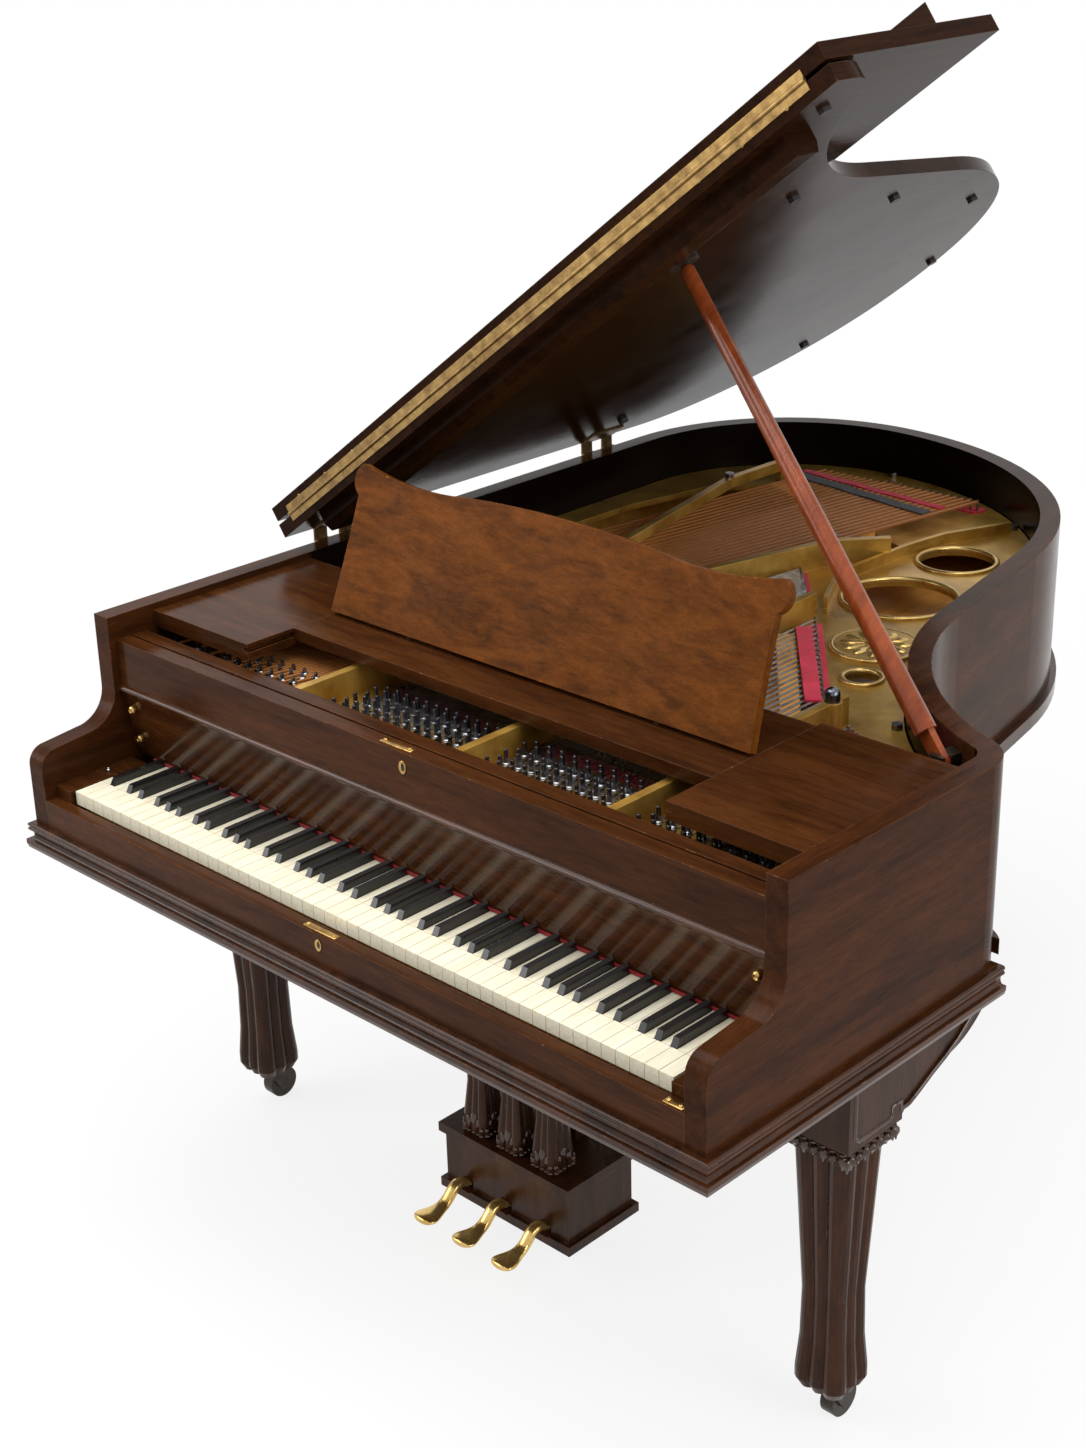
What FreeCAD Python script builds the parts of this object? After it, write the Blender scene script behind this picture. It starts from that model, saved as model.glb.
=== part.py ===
import FreeCAD
import Part
import math
import os

# A grand piano with its lid up, its front flap folded back and its music desk raised.
# Millimetres. X runs to the treble side, Y from the player to the tail, Z up from the floor.
# Pieces are placed from the middle of the keyboard, the front of the arms and the floor.
# The finished part is then moved so that its origin lies under the middle of its box.

Vector = FreeCAD.Vector
OVERRUN = 20.0
SAME_POINT = 0.0001

# Case plan
KEY_BLOCK_WIDTH = 37.7
CASE_LENGTH = 1806.0
CHEEK_LENGTH = 575.0
CORNER_RADIUS = 70.0
CORNER_TURN = 68.0
WAIST_RADIUS = 495.0
WAIST_TURN = 57.0
BENT_RADIUS = 610.0
RIM_WALL = 34.0
RIM_BOTTOM = 653.0
RIM_HEIGHT = 308.0

# Arms
ARM_NOSE_HEIGHT = 127.0
ARM_NOSE_RADIUS = 28.0
ARM_SLOPE_RISE = 6.0
ARM_SCOOP_RADIUS = 55.0
ARM_FACE_DEPTH = 147.0

# Keybed, key slip and mouldings
KEYBED_THICKNESS = 41.0
KEYBED_DEPTH = 615.0
SLIP_THICKNESS = 21.0
SLIP_HEIGHT = 47.0
BASE_MOULD_PROJECTION = 14.0
BASE_MOULD_HEIGHT = 43.0
BEAD_HEIGHT = 24.0
BEAD_PROJECTION = 11.0
BEAD_LIFT = 4.0

# Inner case
INNER_RIM_WALL = 46.0
BELLY_RAIL_FRONT = 505.0
BELLY_RAIL_THICKNESS = 36.0
SOUNDBOARD_HEIGHT = 800.0
SOUNDBOARD_THICKNESS = 9.0
RIB_HEIGHT = 20.0
RIB_WIDTH = 24.0
RIB_COUNT = 8
POST_WIDTH = 70.0
POST_HEIGHT = 95.0

# Stretcher and pinblock
STRETCHER_FRONT = 192.0
STRETCHER_THICKNESS = 26.0
STRETCHER_TOP = 921.0
PINBLOCK_DEPTH = 154.0
PINBLOCK_THICKNESS = 46.0

# Plate
PLATE_HEIGHT = 864.0
PLATE_THICKNESS = 11.0
PLATE_CLEARANCE = 2.0
PLATE_FLANGE = 44.0
PLATE_LIP_HEIGHT = 26.0
PLATE_LIP_THICKNESS = 12.0
PLATE_APRON_BACK = 386.0
STRUT_WIDTH = 14.0
STRUT_TOP = 920.0
STRUT_FOOT = 26.0
RIDGE_WIDTH = 8.0
RIDGE_HEIGHT = 20.0
HOLE_BEAD_WIDTH = 6.0
HOLE_BEAD_HEIGHT = 4.0
TAIL_HOLE_DIAMETER = 132.0
BIG_HOLE_DIAMETER = 190.0
SMALL_HOLE_DIAMETER = 56.0
BOSS_DIAMETER = 144.0
BOSS_HEIGHT = 5.0

# Strings
TREBLE_STRING_RISE = 11.0
BASS_STRING_RISE = 22.0
TREBLE_WIRE = 1.2
BASS_WIRE = 3.4
UNISON_SPACING = 1.7
PIN_SIDE = 5.4
PIN_TIP_SIDE = 4.2
PIN_HEIGHT = 32.0
PIN_FRONT = 250.0
PIN_ROW_STEP = 34.0
PIN_ROWS = 3
HITCH_SIDE = 1.4
HITCH_HEAD = 4.0
BRIDGE_WIDTH = 30.0
BRIDGE_SETBACK = 80.0
BASS_BRIDGE_SETBACK = 125.0
BASS_BRIDGE_SLANT = 150.0
SINGLE_STRINGS = 9
FELT_WIDTH = 22.0
FELT_THICKNESS = 3.0
HITCH_FELT_WIDTH = 20.0
BOLT_DIAMETER = 18.0
BOLT_HEAD = 9.0
POST_BOLT_HEIGHT = 22.0
POST_BOSS_DIAMETER = 30.0
POST_BOLT_DIAMETER = 24.0

# Keyboard
KEY_PITCH = 23.5
WHITE_COUNT = 52
KEY_GAP = 1.0
KEY_TOP = 719.0
KEY_FRONT = 29.0
KEY_BODY = 22.0
KEY_HEAD_LENGTH = 50.0
KEY_LENGTH = 418.0
SHARP_WIDTH = 11.0
SHARP_TOP_WIDTH = 9.4
SHARP_LENGTH = 97.0
SHARP_RISE = 11.5
SHARP_SLOPE = 6.0
BALANCE_DEPTH = 262.0
FRAME_BASE = 10.0
RAIL_WIDTH = 46.0
FRONT_RAIL_HEIGHT = 28.0
REST_GAP = 0.3
SHIFT_TRAVEL = 2.5
SIDE_CLEARANCE = 0.8

# Action
HAMMER_PIVOT_DEPTH = 334.0
HAMMER_PIVOT_HEIGHT = 790.0
HAMMER_LEVER = 112.0
SHANK_SIDE = 5.0
HAMMER_WIDTH = 8.6
HAMMER_DEPTH = 24.0
HAMMER_HEIGHT = 50.0
HAMMER_RAIL_WIDTH = 34.0
HAMMER_RAIL_HEIGHT = 26.0
BRACKET_WIDTH = 26.0
DAMPER_DEPTH = 478.0
DAMPER_RAIL_WIDTH = 14.0
DAMPER_RAIL_HEIGHT = 12.0
DAMPER_RAIL_TOP = 812.0
DAMPER_HEAD_LENGTH = 26.0
DAMPER_HEAD_HEIGHT = 11.0
DAMPER_WIRE = 1.4

# Fallboard
FALL_BOTTOM = 723.0
FALL_PIVOT_DEPTH = 178.0
FALL_PIVOT_HEIGHT = 744.0
FALL_THICKNESS = 19.0
FALL_HINGE_DEPTH = 160.0
FALL_HINGE_HEIGHT = 848.0
FALL_FLAP_THICKNESS = 27.0
FALL_NOSING_RADIUS = 6.0
FALL_PIN_DIAMETER = 12.0
FALL_PIN_LENGTH = 9.0
FIT = 0.05

# Music desk
SHELF_TOP = 950.0
SHELF_THICKNESS = 27.0
SHELF_FRONT = 236.0
SHELF_BACK = 562.0
CLEAT_SIDE = 14.0
CLEAT_SETBACK = 70.0
TRAY_HALF_WIDTH = 418.0
TRAY_FRONT = 328.0
TRAY_DEPTH = 222.0
TRAY_THICKNESS = 20.0
TRAY_TONGUE = 9.0
TRAY_TONGUE_HEIGHT = 8.0
DESK_HALF_WIDTH = 419.0
DESK_HEIGHT = 233.0
DESK_THICKNESS = 15.0
DESK_LIP = 12.0
DESK_LUG_SIDE = 8.0
DESK_PIN_DIAMETER = 6.0
DESK_PIVOT_DEPTH = 416.0
DESK_PIVOT_LIFT = 16.0
DESK_LEAN = 19.5
DESK_STRUT_REACH = 70.0
DESK_STRUT_LENGTH = 108.0
DESK_STRUT_WIDTH = 22.0
DESK_STRUT_THICKNESS = 6.0
DESK_STRUT_SPREAD = 250.0

# Lid
LID_OPEN = 36.18
LID_THICKNESS = 24.0
LID_GAP = 20.0
LID_OVERHANG = 9.0
LID_FRONT = 545.0
FLAP_FRONT = 165.0
FLAP_KNUCKLE_RADIUS = 3.0
FLAP_JOINT_GAP = 4.0
FLAP_END_INSET = 2.0
FLAP_RAIL_SETBACK = 110.0
FLAP_RAIL_DEPTH = 106.0
FLAP_RAIL_HEIGHT = 36.0
FLAP_RAIL_TOE = 3.0
FLAP_RAIL_INSET = 10.0
FLAP_LEAF_HEIGHT = 11.0
FLAP_LEAF_INSET = 40.0
FLAP_LEAF_THICKNESS = 1.6
BATTEN_FRONT = 578.0
BATTEN_DEPTH = 60.0
BATTEN_HEIGHT = 30.0
BATTEN_INSET = 62.0
LID_HINGE_LENGTH = 84.0
LID_HINGE_LEAF = 34.0
LID_HINGE_THICKNESS = 3.0
LID_HINGE_KNUCKLE = 6.0
BUMPER_DIAMETER = 20.0
BUMPER_HEIGHT = 6.0

# Prop
PROP_PIVOT_X = 590.0
PROP_PIVOT_Y = 598.0
PROP_PIVOT_Z = 930.0
PROP_REACH = 195.0
PROP_REACH_DEPTH = 730.0
PROP_BASE_DIAMETER = 32.0
PROP_TIP_DIAMETER = 22.0
PROP_TONGUE = 10.0
PROP_TONGUE_LENGTH = 46.0
PROP_TONGUE_WIDTH = 24.0
PROP_PIN_DIAMETER = 8.0
PROP_CHEEK = 6.0
CUP_DIAMETER = 46.0
CUP_THICKNESS = 8.0

# Legs, brackets and casters
LEG_INSET = 71.0
LEG_Y = 360.0
REAR_LEG_X = -130.0
REAR_LEG_Y = 1480.0
LEG_BOTTOM = 66.0
LEG_TOP_SIDE = 96.0
LEG_NECK_SIDE = 72.0
LEG_NECK_RISE = 164.0
LEG_FOOT_SIDE = 84.0
LEG_FOOT_HEIGHT = 30.0
LEG_SOLE_SIDE = 70.0
LEG_SOLE_HEIGHT = 14.0
LEG_BLOCK_SIDE = 118.0
LEG_BLOCK_HEIGHT = 116.0
LEG_COLLAR_HEIGHT = 26.0
LEG_COLLAR_SIDE = 108.0
CORBEL_LENGTH = 194.0
CORBEL_WIDTH = 112.0
CORBEL_TIP = 22.0
WHEEL_DIAMETER = 56.0
WHEEL_WIDTH = 22.0
AXLE_DIAMETER = 9.0
FORK_PLATE = 5.0
FORK_GAP = 1.5
CASTER_TRAIL = 20.0
STEM_DIAMETER = 16.0
STEM_LENGTH = 52.0
SWIVEL_GAP = 0.4

# Lyre and pedals
LYRE_HALF_WIDTH = 134.0
LYRE_FRONT = 335.0
LYRE_DEPTH = 145.0
LYRE_BOTTOM = 55.0
LYRE_BOX_HEIGHT = 120.0
LYRE_WALL = 14.0
LYRE_CAP = 16.0
LYRE_CAP_PROJECTION = 8.0
COLUMN_SIDE = 40.0
COLUMN_FLARE_SIDE = 52.0
COLUMN_FLARE_HEIGHT = 90.0
COLUMN_SPACING = 75.0
COLUMN_INSET = 30.0
REAR_COLUMN_SIDE = 28.0
REAR_COLUMN_X = 43.0
LYRE_TOP_BLOCK = 34.0
BRACE_DIAMETER = 18.0
BRACE_RUN = 300.0
PEDAL_SPACING = 86.0
PEDAL_WIDTH = 20.0
PEDAL_TIP_WIDTH = 44.0
PEDAL_THICKNESS = 10.0
PEDAL_TIP = 228.0
PEDAL_TOE_LENGTH = 66.0
PEDAL_DIP = 16.0
PEDAL_DIP_LENGTH = 92.0
PEDAL_PIVOT_DEPTH = 404.0
PEDAL_HEIGHT = 82.0
PEDAL_PIN_DIAMETER = 10.0
PEDAL_HEEL = 56.0
PEDAL_SLOT_RISE = 8.0
PEDAL_SLOT_DROP = 14.0
ROD_DIAMETER = 9.0
ROD_HOLE_CLEARANCE = 1.5

# Shares of the sizes that they follow
SECTION_NOTES = (23, 25, 20, 20)
SECTION_START_SHARES = (-0.904, -0.343, 0.124, 0.532)
SECTION_END_SHARES = (-0.488, 0.044, 0.459, 0.889)
HITCH_START_X_SHARES = (-0.583, -0.15, 0.096, 0.539)
HITCH_END_X_SHARES = (-0.09, 0.032, 0.452, 0.860)
HITCH_START_Y_SHARES = (0.8773, 0.4996, 0.3534, 0.0934)
HITCH_END_Y_SHARES = (0.8879, 0.3859, 0.1137, 0.0053)
SHARP_OFFSET_SHARES = {"A": 0.12, "C": -0.12, "D": 0.12, "F": -0.14, "G": 0.0}
WHITE_LETTERS = "ABCDEFG"
DAMPED_NOTES = 66
DAMPER_HEAD_SHARE = 1.3
STRUT_SPREAD_SHARE = 0.7
OGEE_BOW_SHARE = 0.12
LID_LEAN_SHARE = 0.985
LID_HINGE_SHARES = (0.36, 0.73)
DESK_ARC_SHARES = (((1.0, 0.0), (0.982, 0.45), (0.976, 0.8)), ((0.976, 0.8), (1.012, 0.91), (0.98, 1.008)),
                   ((0.98, 1.008), (0.72, 0.944), (0.45, 0.968)))
REED_SHARE = 0.07
REED_COUNT = 3
REED_FACETS = 4
FOOT_COVE_SHARES = (0.4, 0.25)
PEDAL_DIP_SHARES = ((0.0, 0.0), (0.25, 0.08), (0.5, 0.5), (0.75, 0.92), (1.0, 1.0))
BUMPER_SHARES = ((0.491, 0.2145), (0.347, 0.5045), (0.203, 0.7799), (-0.22, 0.9683),
                 (-0.685, 0.9334), (-0.894, 0.606), (0.905, 0.0203))
POST_FOOT_SHARES = (-0.6, -0.15, 0.32)
POST_SPLAY_SHARE = -0.12
RIB_SLOPE_SHARE = 0.28
PIN_STAGGER_SHARE = 0.4
PLATE_OPENING_SHARES = ((-0.904, None), (0.888, None), (0.888, -0.0122), (0.547, 0.0772), (0.452, 0.0975),
                        (0.088, 0.3355), (0.015, 0.3631), (-0.16, 0.485), (-0.171, 0.5451),
                        (-0.074, 0.6848), (-0.66, 0.8123), (-0.8, 0.7506), (-0.862, 0.589))
STRUT_SHARES = (((-0.415, None), (-0.24, 0.3631), (-0.138, 0.5654), (-0.04, 0.6255)),
                ((0.084, None), (0.062, 0.3745)), ((0.496, None), (0.496, 0.1194)))
CROSS_STRUT_SHARES = ((-0.376, -0.0366), (-0.679, 0.7027), (-0.673, 0.8408))
RIDGE_SHARES = ((0.045, 0.4135), (-0.047, 0.5085), (-0.035, 0.6621), (-0.015, 0.736), (0.066, 0.8432))
TAIL_HOLE_SHARES = (0.092, 0.684)
BIG_HOLE_SHARES = (0.143, 0.5077)
SMALL_HOLE_SHARES = (0.376, 0.2445)
BOSS_SHARES = (0.283, 0.3436)
POST_BOLT_SHARES = (0.496, 0.0934)

RIM_TOP = RIM_BOTTOM + RIM_HEIGHT
KEYBED_BOTTOM = RIM_BOTTOM - KEYBED_THICKNESS
KEYBOARD_HALF = KEY_PITCH * WHITE_COUNT / 2
BLOCK_INNER = KEYBOARD_HALF + SHIFT_TRAVEL + SIDE_CLEARANCE
ARM_INNER = BLOCK_INNER + KEY_BLOCK_WIDTH
HALF_WIDTH = ARM_INNER + RIM_WALL
CASE_WIDTH = 2 * HALF_WIDTH
LEG_X = HALF_WIDTH - LEG_INSET
PINBLOCK_FRONT = STRETCHER_FRONT + STRETCHER_THICKNESS
PINBLOCK_BACK = PINBLOCK_FRONT + PINBLOCK_DEPTH
PINBLOCK_TOP = PLATE_HEIGHT
PLATE_TOP = PLATE_HEIGHT + PLATE_THICKNESS
TREBLE_STRING_HEIGHT = PLATE_TOP + TREBLE_STRING_RISE
BASS_STRING_HEIGHT = PLATE_TOP + BASS_STRING_RISE
SOUNDBOARD_TOP = SOUNDBOARD_HEIGHT + SOUNDBOARD_THICKNESS
BELLY_RAIL_BACK = BELLY_RAIL_FRONT + BELLY_RAIL_THICKNESS
KEY_BOTTOM = KEY_TOP - KEY_BODY
KEY_BACK = KEY_FRONT + KEY_LENGTH
LID_UNDER = RIM_TOP + LID_GAP
LID_TOP = LID_UNDER + LID_THICKNESS
LID_HINGE_X = -HALF_WIDTH - LID_OVERHANG
FLAP_AXIS_Z = LID_TOP + FLAP_KNUCKLE_RADIUS
TRAY_TOP = SHELF_TOP
LYRE_BACK = LYRE_FRONT + LYRE_DEPTH
LYRE_BOX_TOP = LYRE_BOTTOM + LYRE_BOX_HEIGHT
ROD_DEPTH = PEDAL_PIVOT_DEPTH + PEDAL_HEEL
PLATE_HOLES = ((TAIL_HOLE_SHARES, TAIL_HOLE_DIAMETER), (BIG_HOLE_SHARES, BIG_HOLE_DIAMETER),
               (SMALL_HOLE_SHARES, SMALL_HOLE_DIAMETER))
PEDAL_XS = (-PEDAL_SPACING, 0.0, PEDAL_SPACING)


def block(x0, x1, y0, y1, z0, z1):
    return Part.makeBox(x1 - x0, y1 - y0, z1 - z0, Vector(x0, y0, z0))


def polygon(points):
    return Part.Face(Part.makePolygon(points + points[:1]))


def plan_prism(points, z0, z1):
    """A flat outline of x, y pairs raised from z0 to z1."""
    return polygon([Vector(x, y, z0) for x, y in points]).extrude(Vector(0, 0, z1 - z0))


def side_prism(points, x0, x1):
    """A side outline of y, z pairs carried across from x0 to x1."""
    return polygon([Vector(x0, y, z) for y, z in points]).extrude(Vector(x1 - x0, 0, 0))


def nut(x, y, z0, z1, diameter):
    """A six-sided block that stands at a plan point."""
    radius = diameter / 2
    turns = [math.radians(60 * turn) for turn in range(6)]
    return plan_prism([(x + math.cos(a) * radius, y + math.sin(a) * radius) for a in turns], z0, z1)


def stacked(rings):
    """A flat-sided solid through closed rings that all have the same number of points."""
    faces = [polygon(rings[0]), polygon(rings[-1])]
    for low, high in zip(rings, rings[1:]):
        faces += [polygon([low[i - 1], low[i], high[i], high[i - 1]]) for i in range(len(low))]
    shell = Part.makeShell(faces)
    shell.sewShape()
    solid = Part.makeSolid(shell)
    return solid if solid.Volume > 0 else solid.reversed()


def rod(start, end, radius):
    way = end - start
    return Part.makeCylinder(radius, way.Length, start, way)


def beam(start, end, width, z0, z1):
    """A straight bar of the given width between two plan points."""
    way = Vector(end[0] - start[0], end[1] - start[1], 0)
    side = Vector(-way.y, way.x, 0).normalize() * (width / 2)
    corners = [(start[0] + side.x, start[1] + side.y), (end[0] + side.x, end[1] + side.y),
               (end[0] - side.x, end[1] - side.y), (start[0] - side.x, start[1] - side.y)]
    return plan_prism(corners, z0, z1)


def left_of(heading):
    turn = math.radians(heading)
    return Vector(-math.sin(turn), math.cos(turn), 0)


def walk_arc(point, heading, radius, turn):
    """The middle and end of an arc that starts at point and turns left, or right if turn is negative."""
    side = radius if turn > 0 else -radius
    centre = point + left_of(heading) * side
    middle = centre - left_of(heading + turn / 2) * side
    end = centre - left_of(heading + turn) * side
    return middle, end


def case_stations():
    """Points and headings round the case plan, from the treble cheek past the tail to the spine.

    Each row holds an arc's first point and heading, its middle and its end. The straight run
    between the waist and the tail takes up what is left of the length, and the bass corner of
    the tail takes up what is left of the width.
    """
    start = Vector(HALF_WIDTH, CHEEK_LENGTH, 0)
    rows = []
    heading = 90.0
    for radius, turn in ((CORNER_RADIUS, CORNER_TURN), (WAIST_RADIUS, -WAIST_TURN)):
        middle, end = walk_arc(start, heading, radius, turn)
        rows.append((start, heading, middle, heading + turn / 2, end, heading + turn))
        start, heading = end, heading + turn
    tail_turn = 180.0 - heading
    reach = walk_arc(start, heading, BENT_RADIUS, tail_turn)[1].y
    along = Vector(math.cos(math.radians(heading)), math.sin(math.radians(heading)), 0)
    start = start + along * ((CASE_LENGTH - reach) / along.y)
    middle, end = walk_arc(start, heading, BENT_RADIUS, tail_turn)
    rows.append((start, heading, middle, heading + tail_turn / 2, end, 180.0))
    corner = HALF_WIDTH + end.x
    middle, last = walk_arc(end, 180.0, corner, 90.0)
    rows.append((end, 180.0, middle, 225.0, last, 270.0))
    return rows


def inset_arcs(inset):
    """The case plan's arcs drawn in by inset; past the cheek corner's radius that corner turns sharp."""
    arcs = []
    for first, h0, middle, h1, last, h2 in case_stations():
        arcs.append([first + left_of(h0) * inset, middle + left_of(h1) * inset, last + left_of(h2) * inset])
    if inset >= CORNER_RADIUS:
        first, heading = case_stations()[1][:2]
        centre = first - left_of(heading) * WAIST_RADIUS
        radius = WAIST_RADIUS + inset
        across = centre.x - HALF_WIDTH + inset
        start = Vector(centre.x - across, centre.y - math.sqrt(radius ** 2 - across ** 2), 0)
        end = arcs[1][2]
        middle = centre + ((start + end) * 0.5 - centre).normalize() * radius
        arcs = [[start, middle, end]] + arcs[2:]
    return arcs


def case_outline(inset, front):
    """The case plan drawn in by inset and closed by a straight line at front."""
    last = Vector(HALF_WIDTH - inset, front, 0)
    corner = Vector(-HALF_WIDTH + inset, front, 0)
    edges = [Part.makeLine(corner, last)]
    for a, b, c in inset_arcs(inset):
        if not a.isEqual(last, SAME_POINT):
            edges.append(Part.makeLine(last, a))
        edges.append(Part.Arc(a, b, c).toShape())
        last = c
    edges.append(Part.makeLine(last, corner))
    return Part.Wire(edges)


def case_slab(inset, front, z0, z1):
    slab = Part.Face(case_outline(inset, front)).extrude(Vector(0, 0, z1 - z0))
    slab.translate(Vector(0, 0, z0))
    return slab


def case_ring(outer, inner, front, z0, z1):
    """A wall that follows the case plan and is open at the front."""
    core = case_slab(inner, front - OVERRUN, z0 - OVERRUN, z1 + OVERRUN)
    return case_slab(outer, front, z0, z1).cut(core)


def arm_cut():
    """What is taken off both arms to leave their nosed and scooped fronts."""
    nose = RIM_BOTTOM + ARM_NOSE_HEIGHT
    bend = math.sqrt(0.5)
    foot = nose + ARM_SLOPE_RISE
    a = Vector(0, 0, nose - ARM_NOSE_RADIUS)
    b = Vector(0, ARM_NOSE_RADIUS * (1 - bend), nose - ARM_NOSE_RADIUS * (1 - bend))
    c = Vector(0, ARM_NOSE_RADIUS, nose)
    d = Vector(0, ARM_FACE_DEPTH - ARM_SCOOP_RADIUS, foot)
    e = Vector(0, ARM_FACE_DEPTH - ARM_SCOOP_RADIUS * (1 - bend), foot + ARM_SCOOP_RADIUS * (1 - bend))
    f = Vector(0, ARM_FACE_DEPTH, foot + ARM_SCOOP_RADIUS)
    g = Vector(0, ARM_FACE_DEPTH, RIM_TOP + OVERRUN)
    h = Vector(0, -OVERRUN, RIM_TOP + OVERRUN)
    k = Vector(0, -OVERRUN, a.z)
    edges = [Part.Arc(a, b, c).toShape(), Part.makeLine(c, d), Part.Arc(d, e, f).toShape(),
             Part.makeLine(f, g), Part.makeLine(g, h), Part.makeLine(h, k), Part.makeLine(k, a)]
    cut = Part.Face(Part.Wire(edges)).extrude(Vector(CASE_WIDTH + 2 * OVERRUN, 0, 0))
    cut.translate(Vector(-HALF_WIDTH - OVERRUN, 0, 0))
    return cut


def fall_pin_holes():
    pins = []
    for side in (-1, 1):
        start = Vector(side * ARM_INNER, FALL_PIVOT_DEPTH, FALL_PIVOT_HEIGHT)
        end = start + Vector(side * (FALL_PIN_LENGTH + SIDE_CLEARANCE), 0, 0)
        pins.append(rod(start, end, FALL_PIN_DIAMETER / 2 + FIT))
    return pins


def outer_rim():
    rim = case_ring(0, RIM_WALL, 0, RIM_BOTTOM, RIM_TOP).cut(arm_cut())
    for hole in fall_pin_holes():
        rim = rim.cut(hole)
    return [rim]


def inner_rim():
    return [case_ring(RIM_WALL, RIM_WALL + INNER_RIM_WALL, BELLY_RAIL_BACK, RIM_BOTTOM, SOUNDBOARD_HEIGHT)]


def keybed():
    bed = block(-HALF_WIDTH, HALF_WIDTH, 0, KEYBED_DEPTH, KEYBED_BOTTOM, RIM_BOTTOM)
    for x in PEDAL_XS:
        hole = Vector(x, ROD_DEPTH, KEYBED_BOTTOM - OVERRUN)
        bed = bed.cut(Part.makeCylinder(ROD_DIAMETER / 2 + ROD_HOLE_CLEARANCE,
                                        KEYBED_THICKNESS + 2 * OVERRUN, hole))
    return [bed]


def key_slip():
    return [block(-ARM_INNER, ARM_INNER, 0, SLIP_THICKNESS, RIM_BOTTOM, RIM_BOTTOM + SLIP_HEIGHT)]


def key_blocks():
    back = FALL_PIVOT_DEPTH - FALL_PIN_DIAMETER
    blocks = []
    for side in (-1, 1):
        near, far = sorted((side * BLOCK_INNER, side * ARM_INNER))
        blocks.append(block(near, far, SLIP_THICKNESS, back, RIM_BOTTOM, KEY_TOP))
    return blocks


def base_moulding():
    """A moulding with two beads, a cove and a stepped lip, mitred round the keybed's front and sides."""
    out, tall, top = BASE_MOULD_PROJECTION, BASE_MOULD_HEIGHT, RIM_BOTTOM
    bead, cove, lip = tall / 6, tall / 3, tall / 6
    back = Vector(HALF_WIDTH, KEYBED_DEPTH, 0)

    def at(projection, drop):
        return Vector(HALF_WIDTH + projection, back.y, top - drop)

    mid = out / 2
    edges = [Part.makeLine(at(0, 0), at(mid, 0)),
             Part.Arc(at(mid, 0), at(mid + bead / 2, bead / 2), at(mid, bead)).toShape(),
             Part.Arc(at(mid, bead), at(mid + bead / 2, bead * 3 / 2), at(mid, 2 * bead)).toShape(),
             Part.Arc(at(mid, 2 * bead), at(mid * 5 / 8, 2 * bead + cove / 2),
                      at(mid, 2 * bead + cove)).toShape(),
             Part.makeLine(at(mid, 2 * bead + cove), at(out, 2 * bead + cove)),
             Part.makeLine(at(out, 2 * bead + cove), at(out, tall - lip)),
             Part.makeLine(at(out, tall - lip), at(out - lip / 3, tall)),
             Part.makeLine(at(out - lip / 3, tall), at(0, tall)),
             Part.makeLine(at(0, tall), at(0, 0))]
    path = Part.makePolygon([Vector(HALF_WIDTH, KEYBED_DEPTH, top), Vector(HALF_WIDTH, 0, top),
                             Vector(-HALF_WIDTH, 0, top), Vector(-HALF_WIDTH, KEYBED_DEPTH, top)])
    return [path.makePipeShell([Part.Wire(edges)], True, False, 1)]


def rim_bead():
    low = RIM_BOTTOM + BEAD_LIFT
    start = KEYBED_DEPTH + BASE_MOULD_PROJECTION
    bead = case_ring(-BEAD_PROJECTION, 0, 0, low, low + BEAD_HEIGHT)
    return bead.common(block(-CASE_WIDTH, CASE_WIDTH, start, 2 * CASE_LENGTH, 0, RIM_TOP)).Solids


def back_frame():
    """Belly rail with the posts that brace it to the rim under the soundboard."""
    rail = block(-ARM_INNER, ARM_INNER, BELLY_RAIL_FRONT, BELLY_RAIL_BACK, RIM_BOTTOM, SOUNDBOARD_TOP)
    room = case_slab(RIM_WALL + INNER_RIM_WALL, BELLY_RAIL_BACK, RIM_BOTTOM, RIM_BOTTOM + POST_HEIGHT)
    pieces = [rail]
    for share in POST_FOOT_SHARES:
        foot = (share * HALF_WIDTH, BELLY_RAIL_BACK - OVERRUN)
        head = ((share + POST_SPLAY_SHARE) * HALF_WIDTH, 2 * CASE_LENGTH)
        post = beam(foot, head, POST_WIDTH, RIM_BOTTOM, RIM_BOTTOM + POST_HEIGHT).common(room)
        pieces.append(max(post.Solids, key=lambda solid: solid.Volume))
    return pieces


def stretcher():
    low = PINBLOCK_TOP - PINBLOCK_THICKNESS
    return [block(-ARM_INNER, ARM_INNER, STRETCHER_FRONT, PINBLOCK_FRONT, low, STRETCHER_TOP)]


def pinblock():
    low = PINBLOCK_TOP - PINBLOCK_THICKNESS
    return [block(-ARM_INNER, ARM_INNER, PINBLOCK_FRONT, PINBLOCK_BACK, low, PINBLOCK_TOP)]


def soundboard():
    return [case_slab(RIM_WALL, BELLY_RAIL_BACK, SOUNDBOARD_HEIGHT, SOUNDBOARD_TOP)]


def soundboard_ribs():
    inset = RIM_WALL + INNER_RIM_WALL + REST_GAP
    room = case_slab(inset, BELLY_RAIL_BACK, SOUNDBOARD_HEIGHT - RIB_HEIGHT, SOUNDBOARD_HEIGHT)
    step = (CASE_LENGTH - BELLY_RAIL_BACK) / (RIB_COUNT + 1)
    ribs = []
    for i in range(RIB_COUNT):
        y = BELLY_RAIL_BACK + step * (i + 1)
        slope = RIB_SLOPE_SHARE * HALF_WIDTH
        rib = beam((-HALF_WIDTH, y + slope), (HALF_WIDTH, y - slope), RIB_WIDTH,
                   SOUNDBOARD_HEIGHT - RIB_HEIGHT, SOUNDBOARD_HEIGHT).common(room)
        ribs += sorted(rib.Solids, key=lambda solid: solid.Volume)[-1:]
    return ribs


def between(first, last, share):
    return first + (last - first) * share


def depth(share):
    """A depth from its share of the run between the cheek's end and the tail."""
    return between(CHEEK_LENGTH, CASE_LENGTH, share)


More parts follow.
